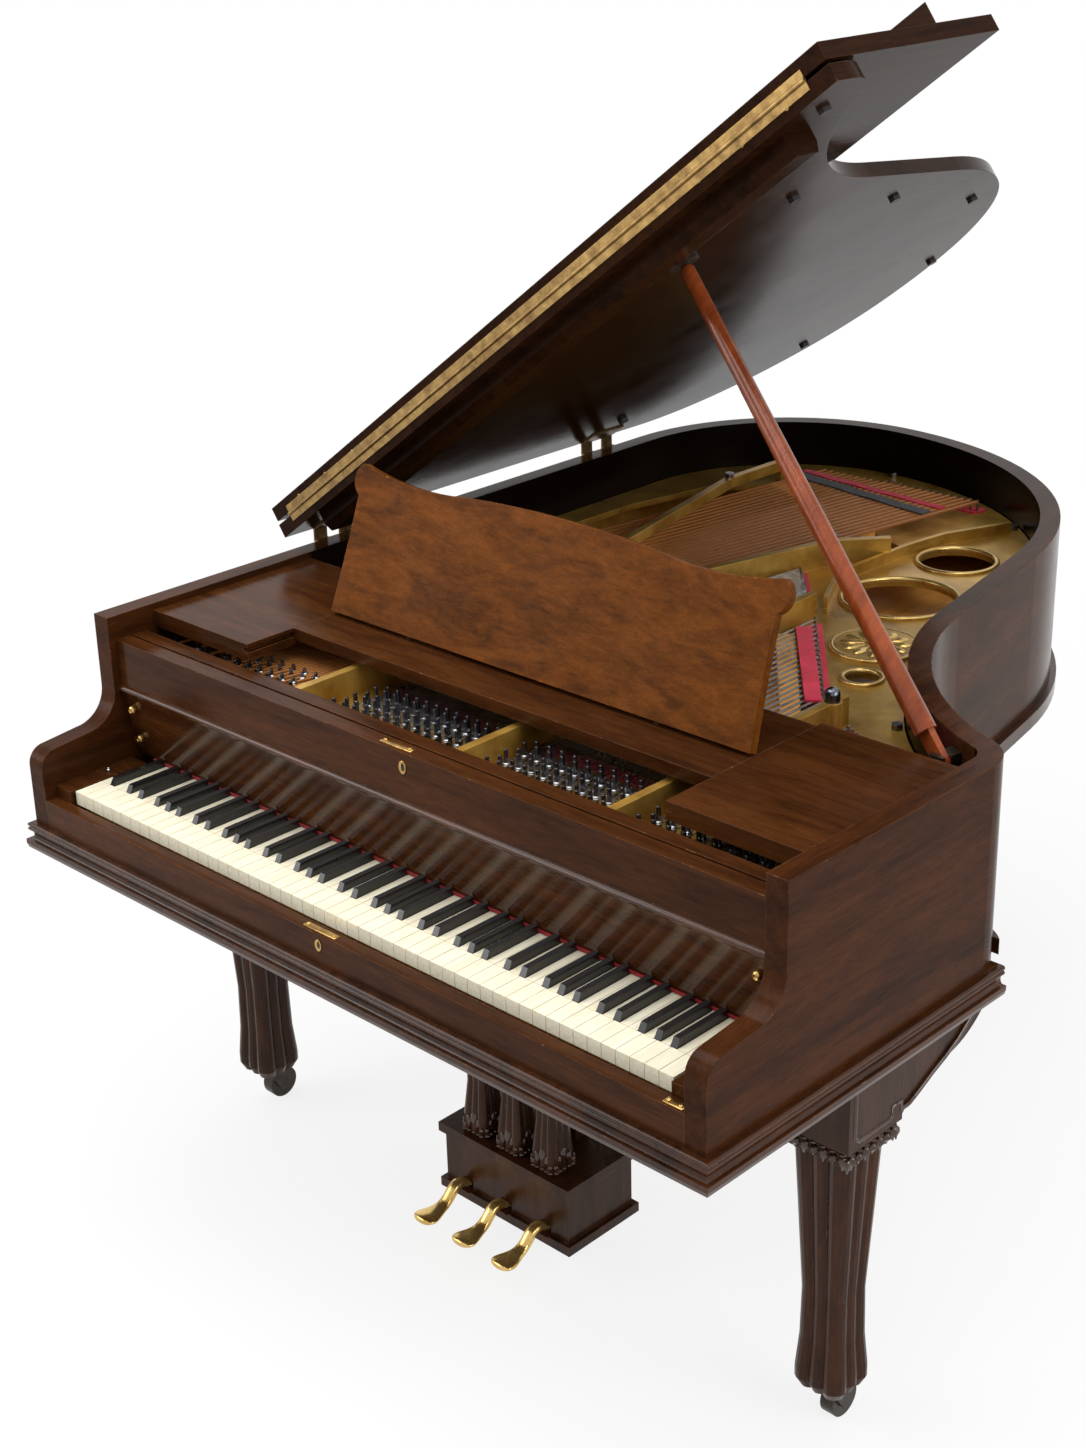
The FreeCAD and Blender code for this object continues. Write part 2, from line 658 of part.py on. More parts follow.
def notes():
    """Each note's section, its share across the section and where its strings start and end in plan."""
    rows = []
    for section, count in enumerate(SECTION_NOTES):
        for i in range(count):
            share = i / (count - 1)
            x = between(SECTION_START_SHARES[section], SECTION_END_SHARES[section], share) * HALF_WIDTH
            hx = between(HITCH_START_X_SHARES[section], HITCH_END_X_SHARES[section], share) * HALF_WIDTH
            hy = depth(between(HITCH_START_Y_SHARES[section], HITCH_END_Y_SHARES[section], share))
            rows.append((section, i, x, hx, hy))
    return rows


def note_pitch(section, share):
    """Distance from note to note, at a share of the way from the pins to the hitch pins."""
    steps = SECTION_NOTES[section] - 1
    near = (SECTION_END_SHARES[section] - SECTION_START_SHARES[section]) * HALF_WIDTH / steps
    far = (HITCH_END_X_SHARES[section] - HITCH_START_X_SHARES[section]) * HALF_WIDTH / steps
    return between(near, far, share)


def unison(section, i):
    """Offsets of a note's strings: one, two or three of them."""
    if section:
        return (-UNISON_SPACING, 0.0, UNISON_SPACING)
    if i < SINGLE_STRINGS:
        return (0.0,)
    return (-UNISON_SPACING, UNISON_SPACING)


def string_rows():
    """Pin centre, hitch centre, height and wire of every string."""
    rows = []
    for section, i, x, hx, hy in notes():
        bass = section == 0
        height = BASS_STRING_HEIGHT if bass else TREBLE_STRING_HEIGHT
        wire = BASS_WIRE if bass else TREBLE_WIRE
        offsets = unison(section, i)
        spread = note_pitch(section, 0.0) / len(offsets)
        middle = (len(offsets) - 1) / 2
        for n, offset in enumerate(offsets):
            row = n if len(offsets) > 1 else i % PIN_ROWS
            front = Vector(x + spread * (n - middle), PIN_FRONT, height)
            hitch = Vector(hx + offset, hy, height)
            back = PIN_ROW_STEP * (row + PIN_STAGGER_SHARE * (i % 2))
            pin = front + (hitch - front) * (back / (hy - PIN_FRONT))
            rows.append((pin, hitch, wire, bass))
    return rows


def strings(bass_wanted):
    pieces = []
    for pin, hitch, wire, bass in string_rows():
        if bass != bass_wanted:
            continue
        way = (hitch - pin).normalize()
        start = pin + way * (PIN_SIDE / 2 + 2 * REST_GAP)
        end = hitch - way * (HITCH_SIDE / 2 + 2 * REST_GAP)
        pieces.append(beam((start.x, start.y), (end.x, end.y), wire, pin.z - wire / 2, pin.z + wire / 2))
    return pieces


def square(x, y, z, side):
    h = side / 2
    return Part.makePolygon([Vector(x - h, y - h, z), Vector(x + h, y - h, z), Vector(x + h, y + h, z),
                             Vector(x - h, y + h, z), Vector(x - h, y - h, z)])


def tuning_pins():
    """Square-headed pins that stand on the plate's apron, drawn in towards the tip."""
    pins = []
    for pin, hitch, wire, bass in string_rows():
        low = square(pin.x, pin.y, PLATE_TOP, PIN_SIDE)
        top = PLATE_TOP + PIN_HEIGHT
        pins.append(Part.makeLoft([low, square(pin.x, pin.y, top, PIN_TIP_SIDE)], True, True))
    return pins


def hitch_pins():
    """A short bar for each note that all its strings are hitched to."""
    pins = []
    half = HITCH_SIDE / 2
    for section, i, x, hx, hy in notes():
        reach = max(unison(section, i)) + half
        top = (TREBLE_STRING_HEIGHT if section else BASS_STRING_HEIGHT) + HITCH_HEAD
        pins.append(block(hx - reach, hx + reach, hy - half, hy + half, PLATE_TOP + FELT_THICKNESS, top))
    return pins


def hitch_line(section, first_back, last_back):
    """Two plan points beside a section's hitch pins, set back along its first and last strings."""
    rows = [row for row in notes() if row[0] == section]
    points = []
    for (_, _, x, hx, hy), back in ((rows[0], first_back), (rows[-1], last_back)):
        way = Vector(hx - x, hy - PIN_FRONT, 0).normalize()
        point = Vector(hx, hy, 0) - way * back
        points.append((point.x, point.y))
    return points


def bridges():
    """The bass bridge and the long treble bridge in three straight runs before it."""
    runs = []
    for section in range(len(SECTION_NOTES)):
        if section:
            top = TREBLE_STRING_HEIGHT - TREBLE_WIRE / 2 - REST_GAP
            line = hitch_line(section, BRIDGE_SETBACK, BRIDGE_SETBACK)
        else:
            top = BASS_STRING_HEIGHT - BASS_WIRE / 2 - REST_GAP
            line = hitch_line(section, BASS_BRIDGE_SETBACK, BASS_BRIDGE_SETBACK + BASS_BRIDGE_SLANT)
        runs.append(beam(*line, BRIDGE_WIDTH, SOUNDBOARD_TOP, top))
    return runs


def plate_point(shares, front=0.0):
    """A plan point from shares of the half width and of the depth; no second share means front."""
    return (shares[0] * HALF_WIDTH, front if shares[1] is None else depth(shares[1]))


def plate_disc(shares, diameter, z0, z1):
    x, y = plate_point(shares)
    return Part.makeCylinder(diameter / 2, z1 - z0, Vector(x, y, z0))


def wall(points, width, z0, z1):
    """Straight bars from point to point, with a round at each bend."""
    bars = [beam(first, last, width, z0, z1) for first, last in zip(points, points[1:])]
    return bars + [Part.makeCylinder(width / 2, z1 - z0, Vector(x, y, z0)) for x, y in points[1:-1]]


def plate():
    """The cast plate: apron with lip, flange down to the soundboard, hitch webs, holes and struts."""
    inset = RIM_WALL + PLATE_CLEARANCE
    body = case_slab(inset, PINBLOCK_FRONT, PLATE_HEIGHT, PLATE_TOP)
    opening = [plate_point(shares, PLATE_APRON_BACK) for shares in PLATE_OPENING_SHARES]
    body = body.cut(plan_prism(opening, PLATE_HEIGHT - OVERRUN, PLATE_TOP + OVERRUN))
    skirt = case_ring(inset, inset + PLATE_FLANGE / 2, BELLY_RAIL_BACK, SOUNDBOARD_TOP, PLATE_HEIGHT)
    lip = block(-ARM_INNER + PLATE_CLEARANCE, ARM_INNER - PLATE_CLEARANCE, PINBLOCK_FRONT,
                PINBLOCK_FRONT + PLATE_LIP_THICKNESS, PLATE_HEIGHT, PLATE_TOP + PLATE_LIP_HEIGHT)
    pieces = [skirt, lip]
    for shares, diameter in PLATE_HOLES:
        rim = diameter + 2 * HOLE_BEAD_WIDTH
        pieces.append(plate_disc(shares, rim, PLATE_HEIGHT, PLATE_TOP + HOLE_BEAD_HEIGHT))
    pieces.append(plate_disc(BOSS_SHARES, BOSS_DIAMETER, PLATE_HEIGHT, PLATE_TOP + BOSS_HEIGHT))
    for shares in STRUT_SHARES:
        lead = plate_point(shares[0], PINBLOCK_FRONT)
        points = [lead] + [plate_point(share, PLATE_APRON_BACK) for share in shares]
        pieces += wall(points, STRUT_WIDTH, PLATE_HEIGHT, STRUT_TOP)
    points = [plate_point(share) for share in CROSS_STRUT_SHARES]
    pieces += wall(points, STRUT_WIDTH, BASS_STRING_HEIGHT + BASS_WIRE, STRUT_TOP)
    x, y = points[-1]
    pieces += wall([(x, y), (x, y - STRUT_FOOT)], STRUT_WIDTH, PLATE_HEIGHT, STRUT_TOP)
    points = [plate_point(share) for share in RIDGE_SHARES]
    pieces += wall(points, RIDGE_WIDTH, PLATE_HEIGHT, PLATE_TOP + RIDGE_HEIGHT)
    pieces.append(plate_disc(POST_BOLT_SHARES, POST_BOSS_DIAMETER, PLATE_HEIGHT, STRUT_TOP))
    body = body.multiFuse(pieces).removeSplitter()
    for shares, diameter in PLATE_HOLES:
        body = body.cut(plate_disc(shares, diameter, PLATE_HEIGHT - OVERRUN, PLATE_TOP + OVERRUN))
    return [body]


def plate_bolts():
    """Bolt heads round the flange, nuts on the struts' bends and a rounded nut on the treble strut."""
    bolts = []
    seats = []
    inset = RIM_WALL + PLATE_CLEARANCE + PLATE_FLANGE / 4
    for first, h0, middle, h1, last, h2 in case_stations():
        for point, heading in ((first, h0), (middle, h1)):
            seat = point + left_of(heading) * inset
            if all(seat.distanceToPoint(other) > 2 * BOLT_DIAMETER for other in seats):
                seats.append(seat)
    for seat in seats:
        bolts.append(nut(seat.x, seat.y, PLATE_TOP, PLATE_TOP + BOLT_HEAD, BOLT_DIAMETER))
    for shares in (STRUT_SHARES[0][-2], CROSS_STRUT_SHARES[-2]):
        x, y = plate_point(shares)
        bolts.append(nut(x, y, STRUT_TOP, STRUT_TOP + BOLT_HEAD, BOLT_DIAMETER))
    x, y = plate_point(POST_BOLT_SHARES)
    radius = POST_BOLT_DIAMETER / 2
    post = Part.makeCylinder(radius, POST_BOLT_HEIGHT - radius, Vector(x, y, STRUT_TOP))
    crown = Vector(x, y, STRUT_TOP + POST_BOLT_HEIGHT - radius)
    dome = Part.makeSphere(radius, crown, Vector(0, 0, 1), 0, 90, 360)
    bolts.append(post.fuse(dome).removeSplitter())
    return bolts


def felt_strips():
    """Felt laid on the apron behind the tuning pins and on the webs under the hitch pins."""
    felts = []
    back = PLATE_APRON_BACK - FELT_THICKNESS
    for start, end in zip(SECTION_START_SHARES, SECTION_END_SHARES):
        felts.append(block(start * HALF_WIDTH, end * HALF_WIDTH, back - FELT_WIDTH, back,
                           PLATE_TOP, PLATE_TOP + FELT_THICKNESS))
    for section in range(len(SECTION_NOTES)):
        line = hitch_line(section, -FELT_THICKNESS, -FELT_THICKNESS)
        felts.append(beam(*line, HITCH_FELT_WIDTH, PLATE_TOP, PLATE_TOP + FELT_THICKNESS))
    return felts


def white_names():
    return [WHITE_LETTERS[i % len(WHITE_LETTERS)] for i in range(WHITE_COUNT)]


def sharp_centres():
    """The middle of each sharp, keyed by the natural on its left."""
    centres = {}
    for i, letter in enumerate(white_names()[:-1]):
        if letter in SHARP_OFFSET_SHARES:
            edge = -KEYBOARD_HALF + KEY_PITCH * (i + 1)
            centres[i] = edge + SHARP_OFFSET_SHARES[letter] * KEY_PITCH
    return centres


def key_order():
    """True for a natural and False for a sharp, from the lowest note to the highest."""
    order = []
    sharps = sharp_centres()
    for i in range(WHITE_COUNT):
        order.append(True)
        if i in sharps:
            order.append(False)
    return order


def white_keys():
    """Naturals with a full-width head and a tail that passes between the sharps."""
    sharps = sharp_centres()
    neck = KEY_FRONT + KEY_HEAD_LENGTH
    keys = []
    for i in range(WHITE_COUNT):
        left = -KEYBOARD_HALF + KEY_PITCH * i + KEY_GAP / 2
        right = left + KEY_PITCH - KEY_GAP
        tail_left = sharps[i - 1] + SHARP_WIDTH / 2 + KEY_GAP if i - 1 in sharps else left
        tail_right = sharps[i] - SHARP_WIDTH / 2 - KEY_GAP if i in sharps else right
        outline = [(left, KEY_FRONT), (right, KEY_FRONT), (right, neck), (tail_right, neck),
                   (tail_right, KEY_BACK), (tail_left, KEY_BACK), (tail_left, neck), (left, neck)]
        points = [p for n, p in enumerate(outline) if p != outline[n - 1]]
        keys.append(plan_prism(points, KEY_BOTTOM, KEY_TOP))
    return keys


def black_keys():
    """Sharps on plain key bodies, with sloped fronts and sides drawn in towards the top."""
    neck = KEY_FRONT + KEY_HEAD_LENGTH + KEY_GAP
    keys = []
    for x in sharp_centres().values():
        half, top = SHARP_WIDTH / 2, SHARP_TOP_WIDTH / 2
        body = block(x - half, x + half, neck, KEY_BACK, KEY_BOTTOM, KEY_TOP)
        end = neck + SHARP_LENGTH
        low = Part.makePolygon([Vector(x - half, neck, KEY_TOP), Vector(x + half, neck, KEY_TOP),
                                Vector(x + half, end, KEY_TOP), Vector(x - half, end, KEY_TOP),
                                Vector(x - half, neck, KEY_TOP)])
        lift, front = KEY_TOP + SHARP_RISE, neck + SHARP_SLOPE
        high = Part.makePolygon([Vector(x - top, front, lift), Vector(x + top, front, lift),
                                 Vector(x + top, end, lift), Vector(x - top, end, lift),
                                 Vector(x - top, front, lift)])
        keys.append(body.fuse(Part.makeLoft([low, high], True, True)).removeSplitter())
    return keys


def key_frame():
    """Front, balance and back rails on three cross bars, with brackets that carry the hammer rail."""
    half = KEYBOARD_HALF
    low = RIM_BOTTOM
    rail = block(-half, half, KEY_FRONT, KEY_FRONT + RAIL_WIDTH, low, low + FRONT_RAIL_HEIGHT)
    balance = block(-half, half, BALANCE_DEPTH - RAIL_WIDTH / 2, BALANCE_DEPTH + RAIL_WIDTH / 2,
                    low, low + FRONT_RAIL_HEIGHT)
    ridge = side_prism([(BALANCE_DEPTH - RAIL_WIDTH / 2, low + FRONT_RAIL_HEIGHT),
                        (BALANCE_DEPTH + RAIL_WIDTH / 2, low + FRONT_RAIL_HEIGHT),
                        (BALANCE_DEPTH + REST_GAP, KEY_BOTTOM - REST_GAP),
                        (BALANCE_DEPTH - REST_GAP, KEY_BOTTOM - REST_GAP)], -half, half)
    back = block(-half, half, KEY_BACK - RAIL_WIDTH, KEY_BACK, low, KEY_BOTTOM - REST_GAP)
    hammer_top = HAMMER_PIVOT_HEIGHT - SHANK_SIDE / 2 - REST_GAP
    reach = half + BRACKET_WIDTH
    pieces = [balance, ridge, back]
    for x in (-half, -RAIL_WIDTH / 2, half - RAIL_WIDTH):
        pieces.append(block(x, x + RAIL_WIDTH, KEY_FRONT, KEY_BACK, low, low + FRAME_BASE))
    y0, y1 = HAMMER_PIVOT_DEPTH - HAMMER_RAIL_WIDTH / 2, HAMMER_PIVOT_DEPTH + HAMMER_RAIL_WIDTH / 2
    pieces.append(block(-reach, reach, y0, y1, hammer_top - HAMMER_RAIL_HEIGHT, hammer_top))
    for side in (-1, 1):
        near, far = sorted((side * (half + KEY_GAP), side * reach))
        pieces.append(block(near, far, y0, y1, low, hammer_top))
        near, far = sorted((side * (half - RAIL_WIDTH), side * reach))
        pieces.append(block(near, far, y0, y1, low, low + FRAME_BASE))
    return [rail.multiFuse(pieces).removeSplitter()]


def strike_x(row):
    """Where a note's string crosses the hammer line."""
    _, _, x, hx, hy = row
    share = (HAMMER_PIVOT_DEPTH + HAMMER_LEVER - PIN_FRONT) / (hy - PIN_FRONT)
    return between(x, hx, share)


def hammers(natural):
    """Hammers on their shanks, each a tapered head that narrows to the striking point."""
    pieces = []
    for row, white in zip(notes(), key_order()):
        if white != natural:
            continue
        x = strike_x(row)
        y, z, half = HAMMER_PIVOT_DEPTH, HAMMER_PIVOT_HEIGHT, SHANK_SIDE / 2
        shank = block(x - half, x + half, y, y + HAMMER_LEVER, z - half, z + half)
        mid = y + HAMMER_LEVER
        head = side_prism([(mid - half, z - half), (mid + half, z - half),
                           (mid + HAMMER_DEPTH / 2, z + HAMMER_HEIGHT / 2), (mid + half, z + HAMMER_HEIGHT),
                           (mid - half, z + HAMMER_HEIGHT), (mid - HAMMER_DEPTH / 2, z + HAMMER_HEIGHT / 2)],
                          x - HAMMER_WIDTH / 2, x + HAMMER_WIDTH / 2)
        pieces.append(shank.fuse(head).removeSplitter())
    return pieces


def dampers():
    """A lifting rail with a wire and felted head for each damped note."""
    rows = notes()[:DAMPED_NOTES]
    x_first, x_last = rows[0][2], rows[-1][2] + DAMPER_HEAD_LENGTH
    y0, y1 = DAMPER_DEPTH - DAMPER_RAIL_WIDTH / 2, DAMPER_DEPTH + DAMPER_RAIL_WIDTH / 2
    rail = block(x_first, x_last, y0, y1, DAMPER_RAIL_TOP - DAMPER_RAIL_HEIGHT, DAMPER_RAIL_TOP)
    parts = []
    for section, i, x, hx, hy in rows:
        bass = section == 0
        height = BASS_STRING_HEIGHT + BASS_WIRE / 2 if bass else TREBLE_STRING_HEIGHT + TREBLE_WIRE / 2
        low = height + REST_GAP
        share = (DAMPER_DEPTH - PIN_FRONT) / (hy - PIN_FRONT)
        cx = between(x, hx, share)
        wire = cx + note_pitch(section, share) / 2
        half = DAMPER_WIRE / 2
        parts.append(block(wire - half, wire + half, DAMPER_DEPTH - half, DAMPER_DEPTH + half,
                           DAMPER_RAIL_TOP, low + DAMPER_HEAD_HEIGHT))
        parts.append(block(cx - DAMPER_HEAD_SHARE * UNISON_SPACING, wire + half,
                           DAMPER_DEPTH - DAMPER_HEAD_LENGTH / 2, DAMPER_DEPTH + DAMPER_HEAD_LENGTH / 2,
                           low, low + DAMPER_HEAD_HEIGHT))
    return [rail.multiFuse(parts).removeSplitter()]


def fallboard():
    """The main panel, leaning a little towards the keys, with a nosing, a pivot pin at each end."""
    reach = ARM_INNER - SIDE_CLEARANCE
    lean = (FALL_PIVOT_DEPTH - FALL_HINGE_DEPTH) / (FALL_HINGE_HEIGHT - FALL_PIVOT_HEIGHT)
    foot = FALL_PIVOT_DEPTH + lean * (FALL_PIVOT_HEIGHT - FALL_BOTTOM)
    panel = side_prism([(foot, FALL_BOTTOM), (foot + FALL_THICKNESS, FALL_BOTTOM),
                        (FALL_HINGE_DEPTH + FALL_THICKNESS, FALL_HINGE_HEIGHT),
                        (FALL_HINGE_DEPTH, FALL_HINGE_HEIGHT)], -reach, reach)
    z = FALL_HINGE_HEIGHT - FALL_NOSING_RADIUS - REST_GAP
    nosing = rod(Vector(-reach, FALL_HINGE_DEPTH, z), Vector(reach, FALL_HINGE_DEPTH, z), FALL_NOSING_RADIUS)
    pins = []
    for side in (-1, 1):
        start = Vector(side * (reach - OVERRUN), FALL_PIVOT_DEPTH, FALL_PIVOT_HEIGHT)
        end = Vector(side * (ARM_INNER + FALL_PIN_LENGTH), FALL_PIVOT_DEPTH, FALL_PIVOT_HEIGHT)
        pins.append(rod(start, end, FALL_PIN_DIAMETER / 2))
    return [panel.multiFuse([nosing] + pins).removeSplitter()]


def fallboard_flap():
    reach = ARM_INNER - SIDE_CLEARANCE
    return [block(-reach, reach, FALL_HINGE_DEPTH, FALL_HINGE_DEPTH + FALL_FLAP_THICKNESS,
                  FALL_HINGE_HEIGHT + REST_GAP, STRETCHER_TOP)]


def side_shelves():
    """Shelves on both sides of the music tray, grooved for its tongues, each on a cleat on the arm."""
    near = TRAY_HALF_WIDTH + SIDE_CLEARANCE
    groove = near + TRAY_TONGUE
    mid = SHELF_TOP - TRAY_THICKNESS / 2
    half = TRAY_TONGUE_HEIGHT / 2 + REST_GAP
    shelves = []
    for side in (-1, 1):
        a, b = sorted((side * near, side * ARM_INNER))
        c, d = sorted((side * (near - OVERRUN), side * groove))
        shelf = block(a, b, SHELF_FRONT, SHELF_BACK, SHELF_TOP - SHELF_THICKNESS, SHELF_TOP)
        slot = block(c, d, SHELF_FRONT - OVERRUN, SHELF_BACK + OVERRUN, mid - half, mid + half)
        shelves.append(shelf.cut(slot))
    return shelves


def shelf_cleats():
    top = SHELF_TOP - SHELF_THICKNESS
    cleats = []
    for side in (-1, 1):
        a, b = sorted((side * (ARM_INNER - CLEAT_SIDE), side * ARM_INNER))
        cleats.append(block(a, b, SHELF_FRONT + CLEAT_SETBACK, SHELF_BACK, top - CLEAT_SIDE, top))
    return cleats


def desk_pivot():
    return Vector(0, DESK_PIVOT_DEPTH, TRAY_TOP + DESK_PIVOT_LIFT)


def music_tray():
    """The sliding tray with a tongue on each side and two lugs whose pins carry the desk."""
    reach, back = TRAY_HALF_WIDTH, TRAY_FRONT + TRAY_DEPTH
    mid = TRAY_TOP - TRAY_THICKNESS / 2
    tray = block(-reach, reach, TRAY_FRONT, back, TRAY_TOP - TRAY_THICKNESS, TRAY_TOP)
    tongue = block(-reach - TRAY_TONGUE, reach + TRAY_TONGUE, TRAY_FRONT, back,
                   mid - TRAY_TONGUE_HEIGHT / 2, mid + TRAY_TONGUE_HEIGHT / 2)
    pieces = [tongue]
    pivot = desk_pivot()
    for x in (-DESK_STRUT_SPREAD, DESK_STRUT_SPREAD):
        half = DESK_LUG_SIDE / 2
        pieces.append(block(x - half, x + half, pivot.y - half, pivot.y + half, TRAY_TOP, pivot.z))
        pieces.append(rod(Vector(x - half, pivot.y, pivot.z), Vector(x + half, pivot.y, pivot.z), half))
        pieces.append(rod(Vector(x - DESK_LUG_SIDE, pivot.y, pivot.z),
                          Vector(x + DESK_LUG_SIDE, pivot.y, pivot.z), DESK_PIN_DIAMETER / 2))
    return [tray.multiFuse(pieces).removeSplitter()]


def lean_back(shape):
    shape.rotate(desk_pivot(), Vector(1, 0, 0), -DESK_LEAN)
    return shape


def music_desk():
    """A panel with a crown between two eared corners, notched round the lugs that carry it."""
    pivot = desk_pivot()
    low = pivot.z - DESK_LIP
    front = pivot.y - DESK_THICKNESS / 2

    def at(shares):
        return Vector(shares[0] * DESK_HALF_WIDTH, front, low + shares[1] * DESK_HEIGHT)

    right = [[at(p) for p in arc] for arc in DESK_ARC_SHARES]
    left = [[Vector(-p.x, p.y, p.z) for p in reversed(arc)] for arc in reversed(right)]
    crown = [right[-1][-1], at((0.0, 1.0)), left[0][0]]
    edges = [Part.Arc(*arc).toShape() for arc in right + [crown] + left]
    edges.append(Part.makeLine(left[-1][-1], right[0][0]))
    panel = Part.Face(Part.Wire(edges)).extrude(Vector(0, DESK_THICKNESS, 0))
    for x in (-DESK_STRUT_SPREAD, DESK_STRUT_SPREAD):
        half = DESK_LUG_SIDE / 2 + SIDE_CLEARANCE
        panel = panel.cut(block(x - half, x + half, pivot.y - half, pivot.y + OVERRUN, low - OVERRUN,
                                pivot.z + half))
        bore = DESK_LUG_SIDE + SIDE_CLEARANCE
        panel = panel.cut(rod(Vector(x - bore, pivot.y, pivot.z), Vector(x + bore, pivot.y, pivot.z),
                              DESK_PIN_DIAMETER / 2 + FIT))
    return [lean_back(panel)]


def strut_pivot():
    """The axis of the desk's struts, just behind the leaning desk."""
    lean = math.radians(DESK_LEAN)
    off = DESK_THICKNESS / 2 + DESK_STRUT_THICKNESS / 2 + REST_GAP
    up = Vector(0, math.sin(lean), math.cos(lean)) * DESK_STRUT_REACH
    back = Vector(0, math.cos(lean), -math.sin(lean)) * off
    return desk_pivot() + up + back


def strut_slope():
    """How far below level the struts run to reach the tray, in degrees."""
    drop = strut_pivot().z - TRAY_TOP - REST_GAP - DESK_STRUT_THICKNESS / 2
    return math.degrees(math.asin(drop / DESK_STRUT_LENGTH))


def desk_struts():
    pivot = strut_pivot()
    struts = []
    for side in (-1, 1):
        x = side * DESK_STRUT_SPREAD * STRUT_SPREAD_SHARE
        half, thick = DESK_STRUT_WIDTH / 2, DESK_STRUT_THICKNESS / 2
        strut = block(x - half, x + half, pivot.y, pivot.y + DESK_STRUT_LENGTH,
                      pivot.z - thick, pivot.z + thick)
        ends = [rod(Vector(x - half, y, pivot.z), Vector(x + half, y, pivot.z), thick)
                for y in (pivot.y, pivot.y + DESK_STRUT_LENGTH)]
        strut = strut.multiFuse(ends).removeSplitter()
        strut.rotate(pivot, Vector(1, 0, 0), -strut_slope())
        struts.append(strut)
    return struts


def lid_axis():
    return Vector(LID_HINGE_X, 0, LID_UNDER)


def raised(shape):
    """A piece drawn on the closed lid, swung up with it."""
    shape.rotate(lid_axis(), Vector(0, 1, 0), -LID_OPEN)
    return shape


def hinge_spans():
    """Start and end along the spine of each lid hinge."""
    return [(share * CASE_LENGTH - LID_HINGE_LENGTH / 2, share * CASE_LENGTH + LID_HINGE_LENGTH / 2)
            for share in LID_HINGE_SHARES]


def on_hinge(y0, y1, radius):
    axis = lid_axis()
    return rod(Vector(axis.x, y0, axis.z), Vector(axis.x, y1, axis.z), radius)


def lid_panel():
    panel = case_slab(-LID_OVERHANG, LID_FRONT, LID_UNDER, LID_TOP)
    for y0, y1 in hinge_spans():
        panel = panel.cut(on_hinge(y0 - REST_GAP, y1 + REST_GAP, LID_HINGE_KNUCKLE / 2 + REST_GAP))
    return [raised(panel)]


def lid_hinge_fixed_leaves():
    """Leaves on the spine with the outer knuckles and the pin of each lid hinge."""
    axis = lid_axis()
    leaves = []
    for y0, y1 in hinge_spans():
        third = (y1 - y0) / 3
        half = LID_HINGE_THICKNESS / 2
        leaf = block(-HALF_WIDTH - LID_HINGE_THICKNESS, -HALF_WIDTH, y0, y1,
                     RIM_TOP - LID_HINGE_LEAF, RIM_TOP)
        pieces = [on_hinge(y0, y1, LID_HINGE_KNUCKLE / 4)]
        for a in (y0, y1 - third):
            pieces.append(on_hinge(a, a + third, LID_HINGE_KNUCKLE / 2))
            pieces.append(block(axis.x - half, -HALF_WIDTH, a, a + third,
                                RIM_TOP - LID_HINGE_THICKNESS, RIM_TOP))
            pieces.append(block(axis.x - half, axis.x + half, a, a + third,
                                RIM_TOP - LID_HINGE_THICKNESS, axis.z - LID_HINGE_KNUCKLE / 4))
        leaves.append(leaf.multiFuse(pieces).removeSplitter())
    return leaves


def lid_hinge_leaves():
    """Leaves under the lid with the middle knuckle of each hinge."""
    axis = lid_axis()
    leaves = []
    for y0, y1 in hinge_spans():
        third = (y1 - y0) / 3
        low = LID_UNDER - LID_HINGE_THICKNESS
        inner = axis.x + LID_HINGE_KNUCKLE
        leaf = block(inner, inner + LID_HINGE_LEAF, y0, y1, low, LID_UNDER)
        a, b = y0 + third + REST_GAP, y1 - third - REST_GAP
        arm = block(axis.x, inner, a, b, low, LID_UNDER)
        leaf = leaf.multiFuse([arm, on_hinge(a, b, LID_HINGE_KNUCKLE / 2)]).removeSplitter()
        leaves.append(raised(leaf.cut(on_hinge(a - OVERRUN, b + OVERRUN, LID_HINGE_KNUCKLE / 4 + FIT))))
    return leaves


def lid_batten():
    reach = HALF_WIDTH - BATTEN_INSET
    edge = BATTEN_HEIGHT / 2
    batten = side_prism([(BATTEN_FRONT, LID_UNDER), (BATTEN_FRONT, LID_UNDER - edge),
                         (BATTEN_FRONT + edge / 2, LID_UNDER - BATTEN_HEIGHT),
                         (BATTEN_FRONT + BATTEN_DEPTH - edge / 2, LID_UNDER - BATTEN_HEIGHT),
                         (BATTEN_FRONT + BATTEN_DEPTH, LID_UNDER - edge),
                         (BATTEN_FRONT + BATTEN_DEPTH, LID_UNDER)], -reach, reach - BATTEN_INSET)
    return [raised(batten)]


def lid_bumpers():
    """Buffers under the lid that meet the rim when the lid is down."""
    bumpers = []
    for shares in BUMPER_SHARES:
        x, y = plate_point(shares)
        bumpers.append(raised(nut(x, y, LID_UNDER - BUMPER_HEIGHT, LID_UNDER, BUMPER_DIAMETER)))
    return bumpers


def flap_axis():
    return Vector(0, LID_FRONT - FLAP_JOINT_GAP / 2, FLAP_AXIS_Z)


def folded(shape):
    """A piece drawn on the closed flap, folded back over the lid and swung up with it."""
    shape.rotate(flap_axis(), Vector(1, 0, 0), -180)
    return raised(shape)


def flap_span():
    return LID_HINGE_X + FLAP_END_INSET, HALF_WIDTH + LID_OVERHANG


def leaf_span():
    x0, x1 = flap_span()
    return x0 + FLAP_LEAF_INSET, x1 - FLAP_LEAF_INSET


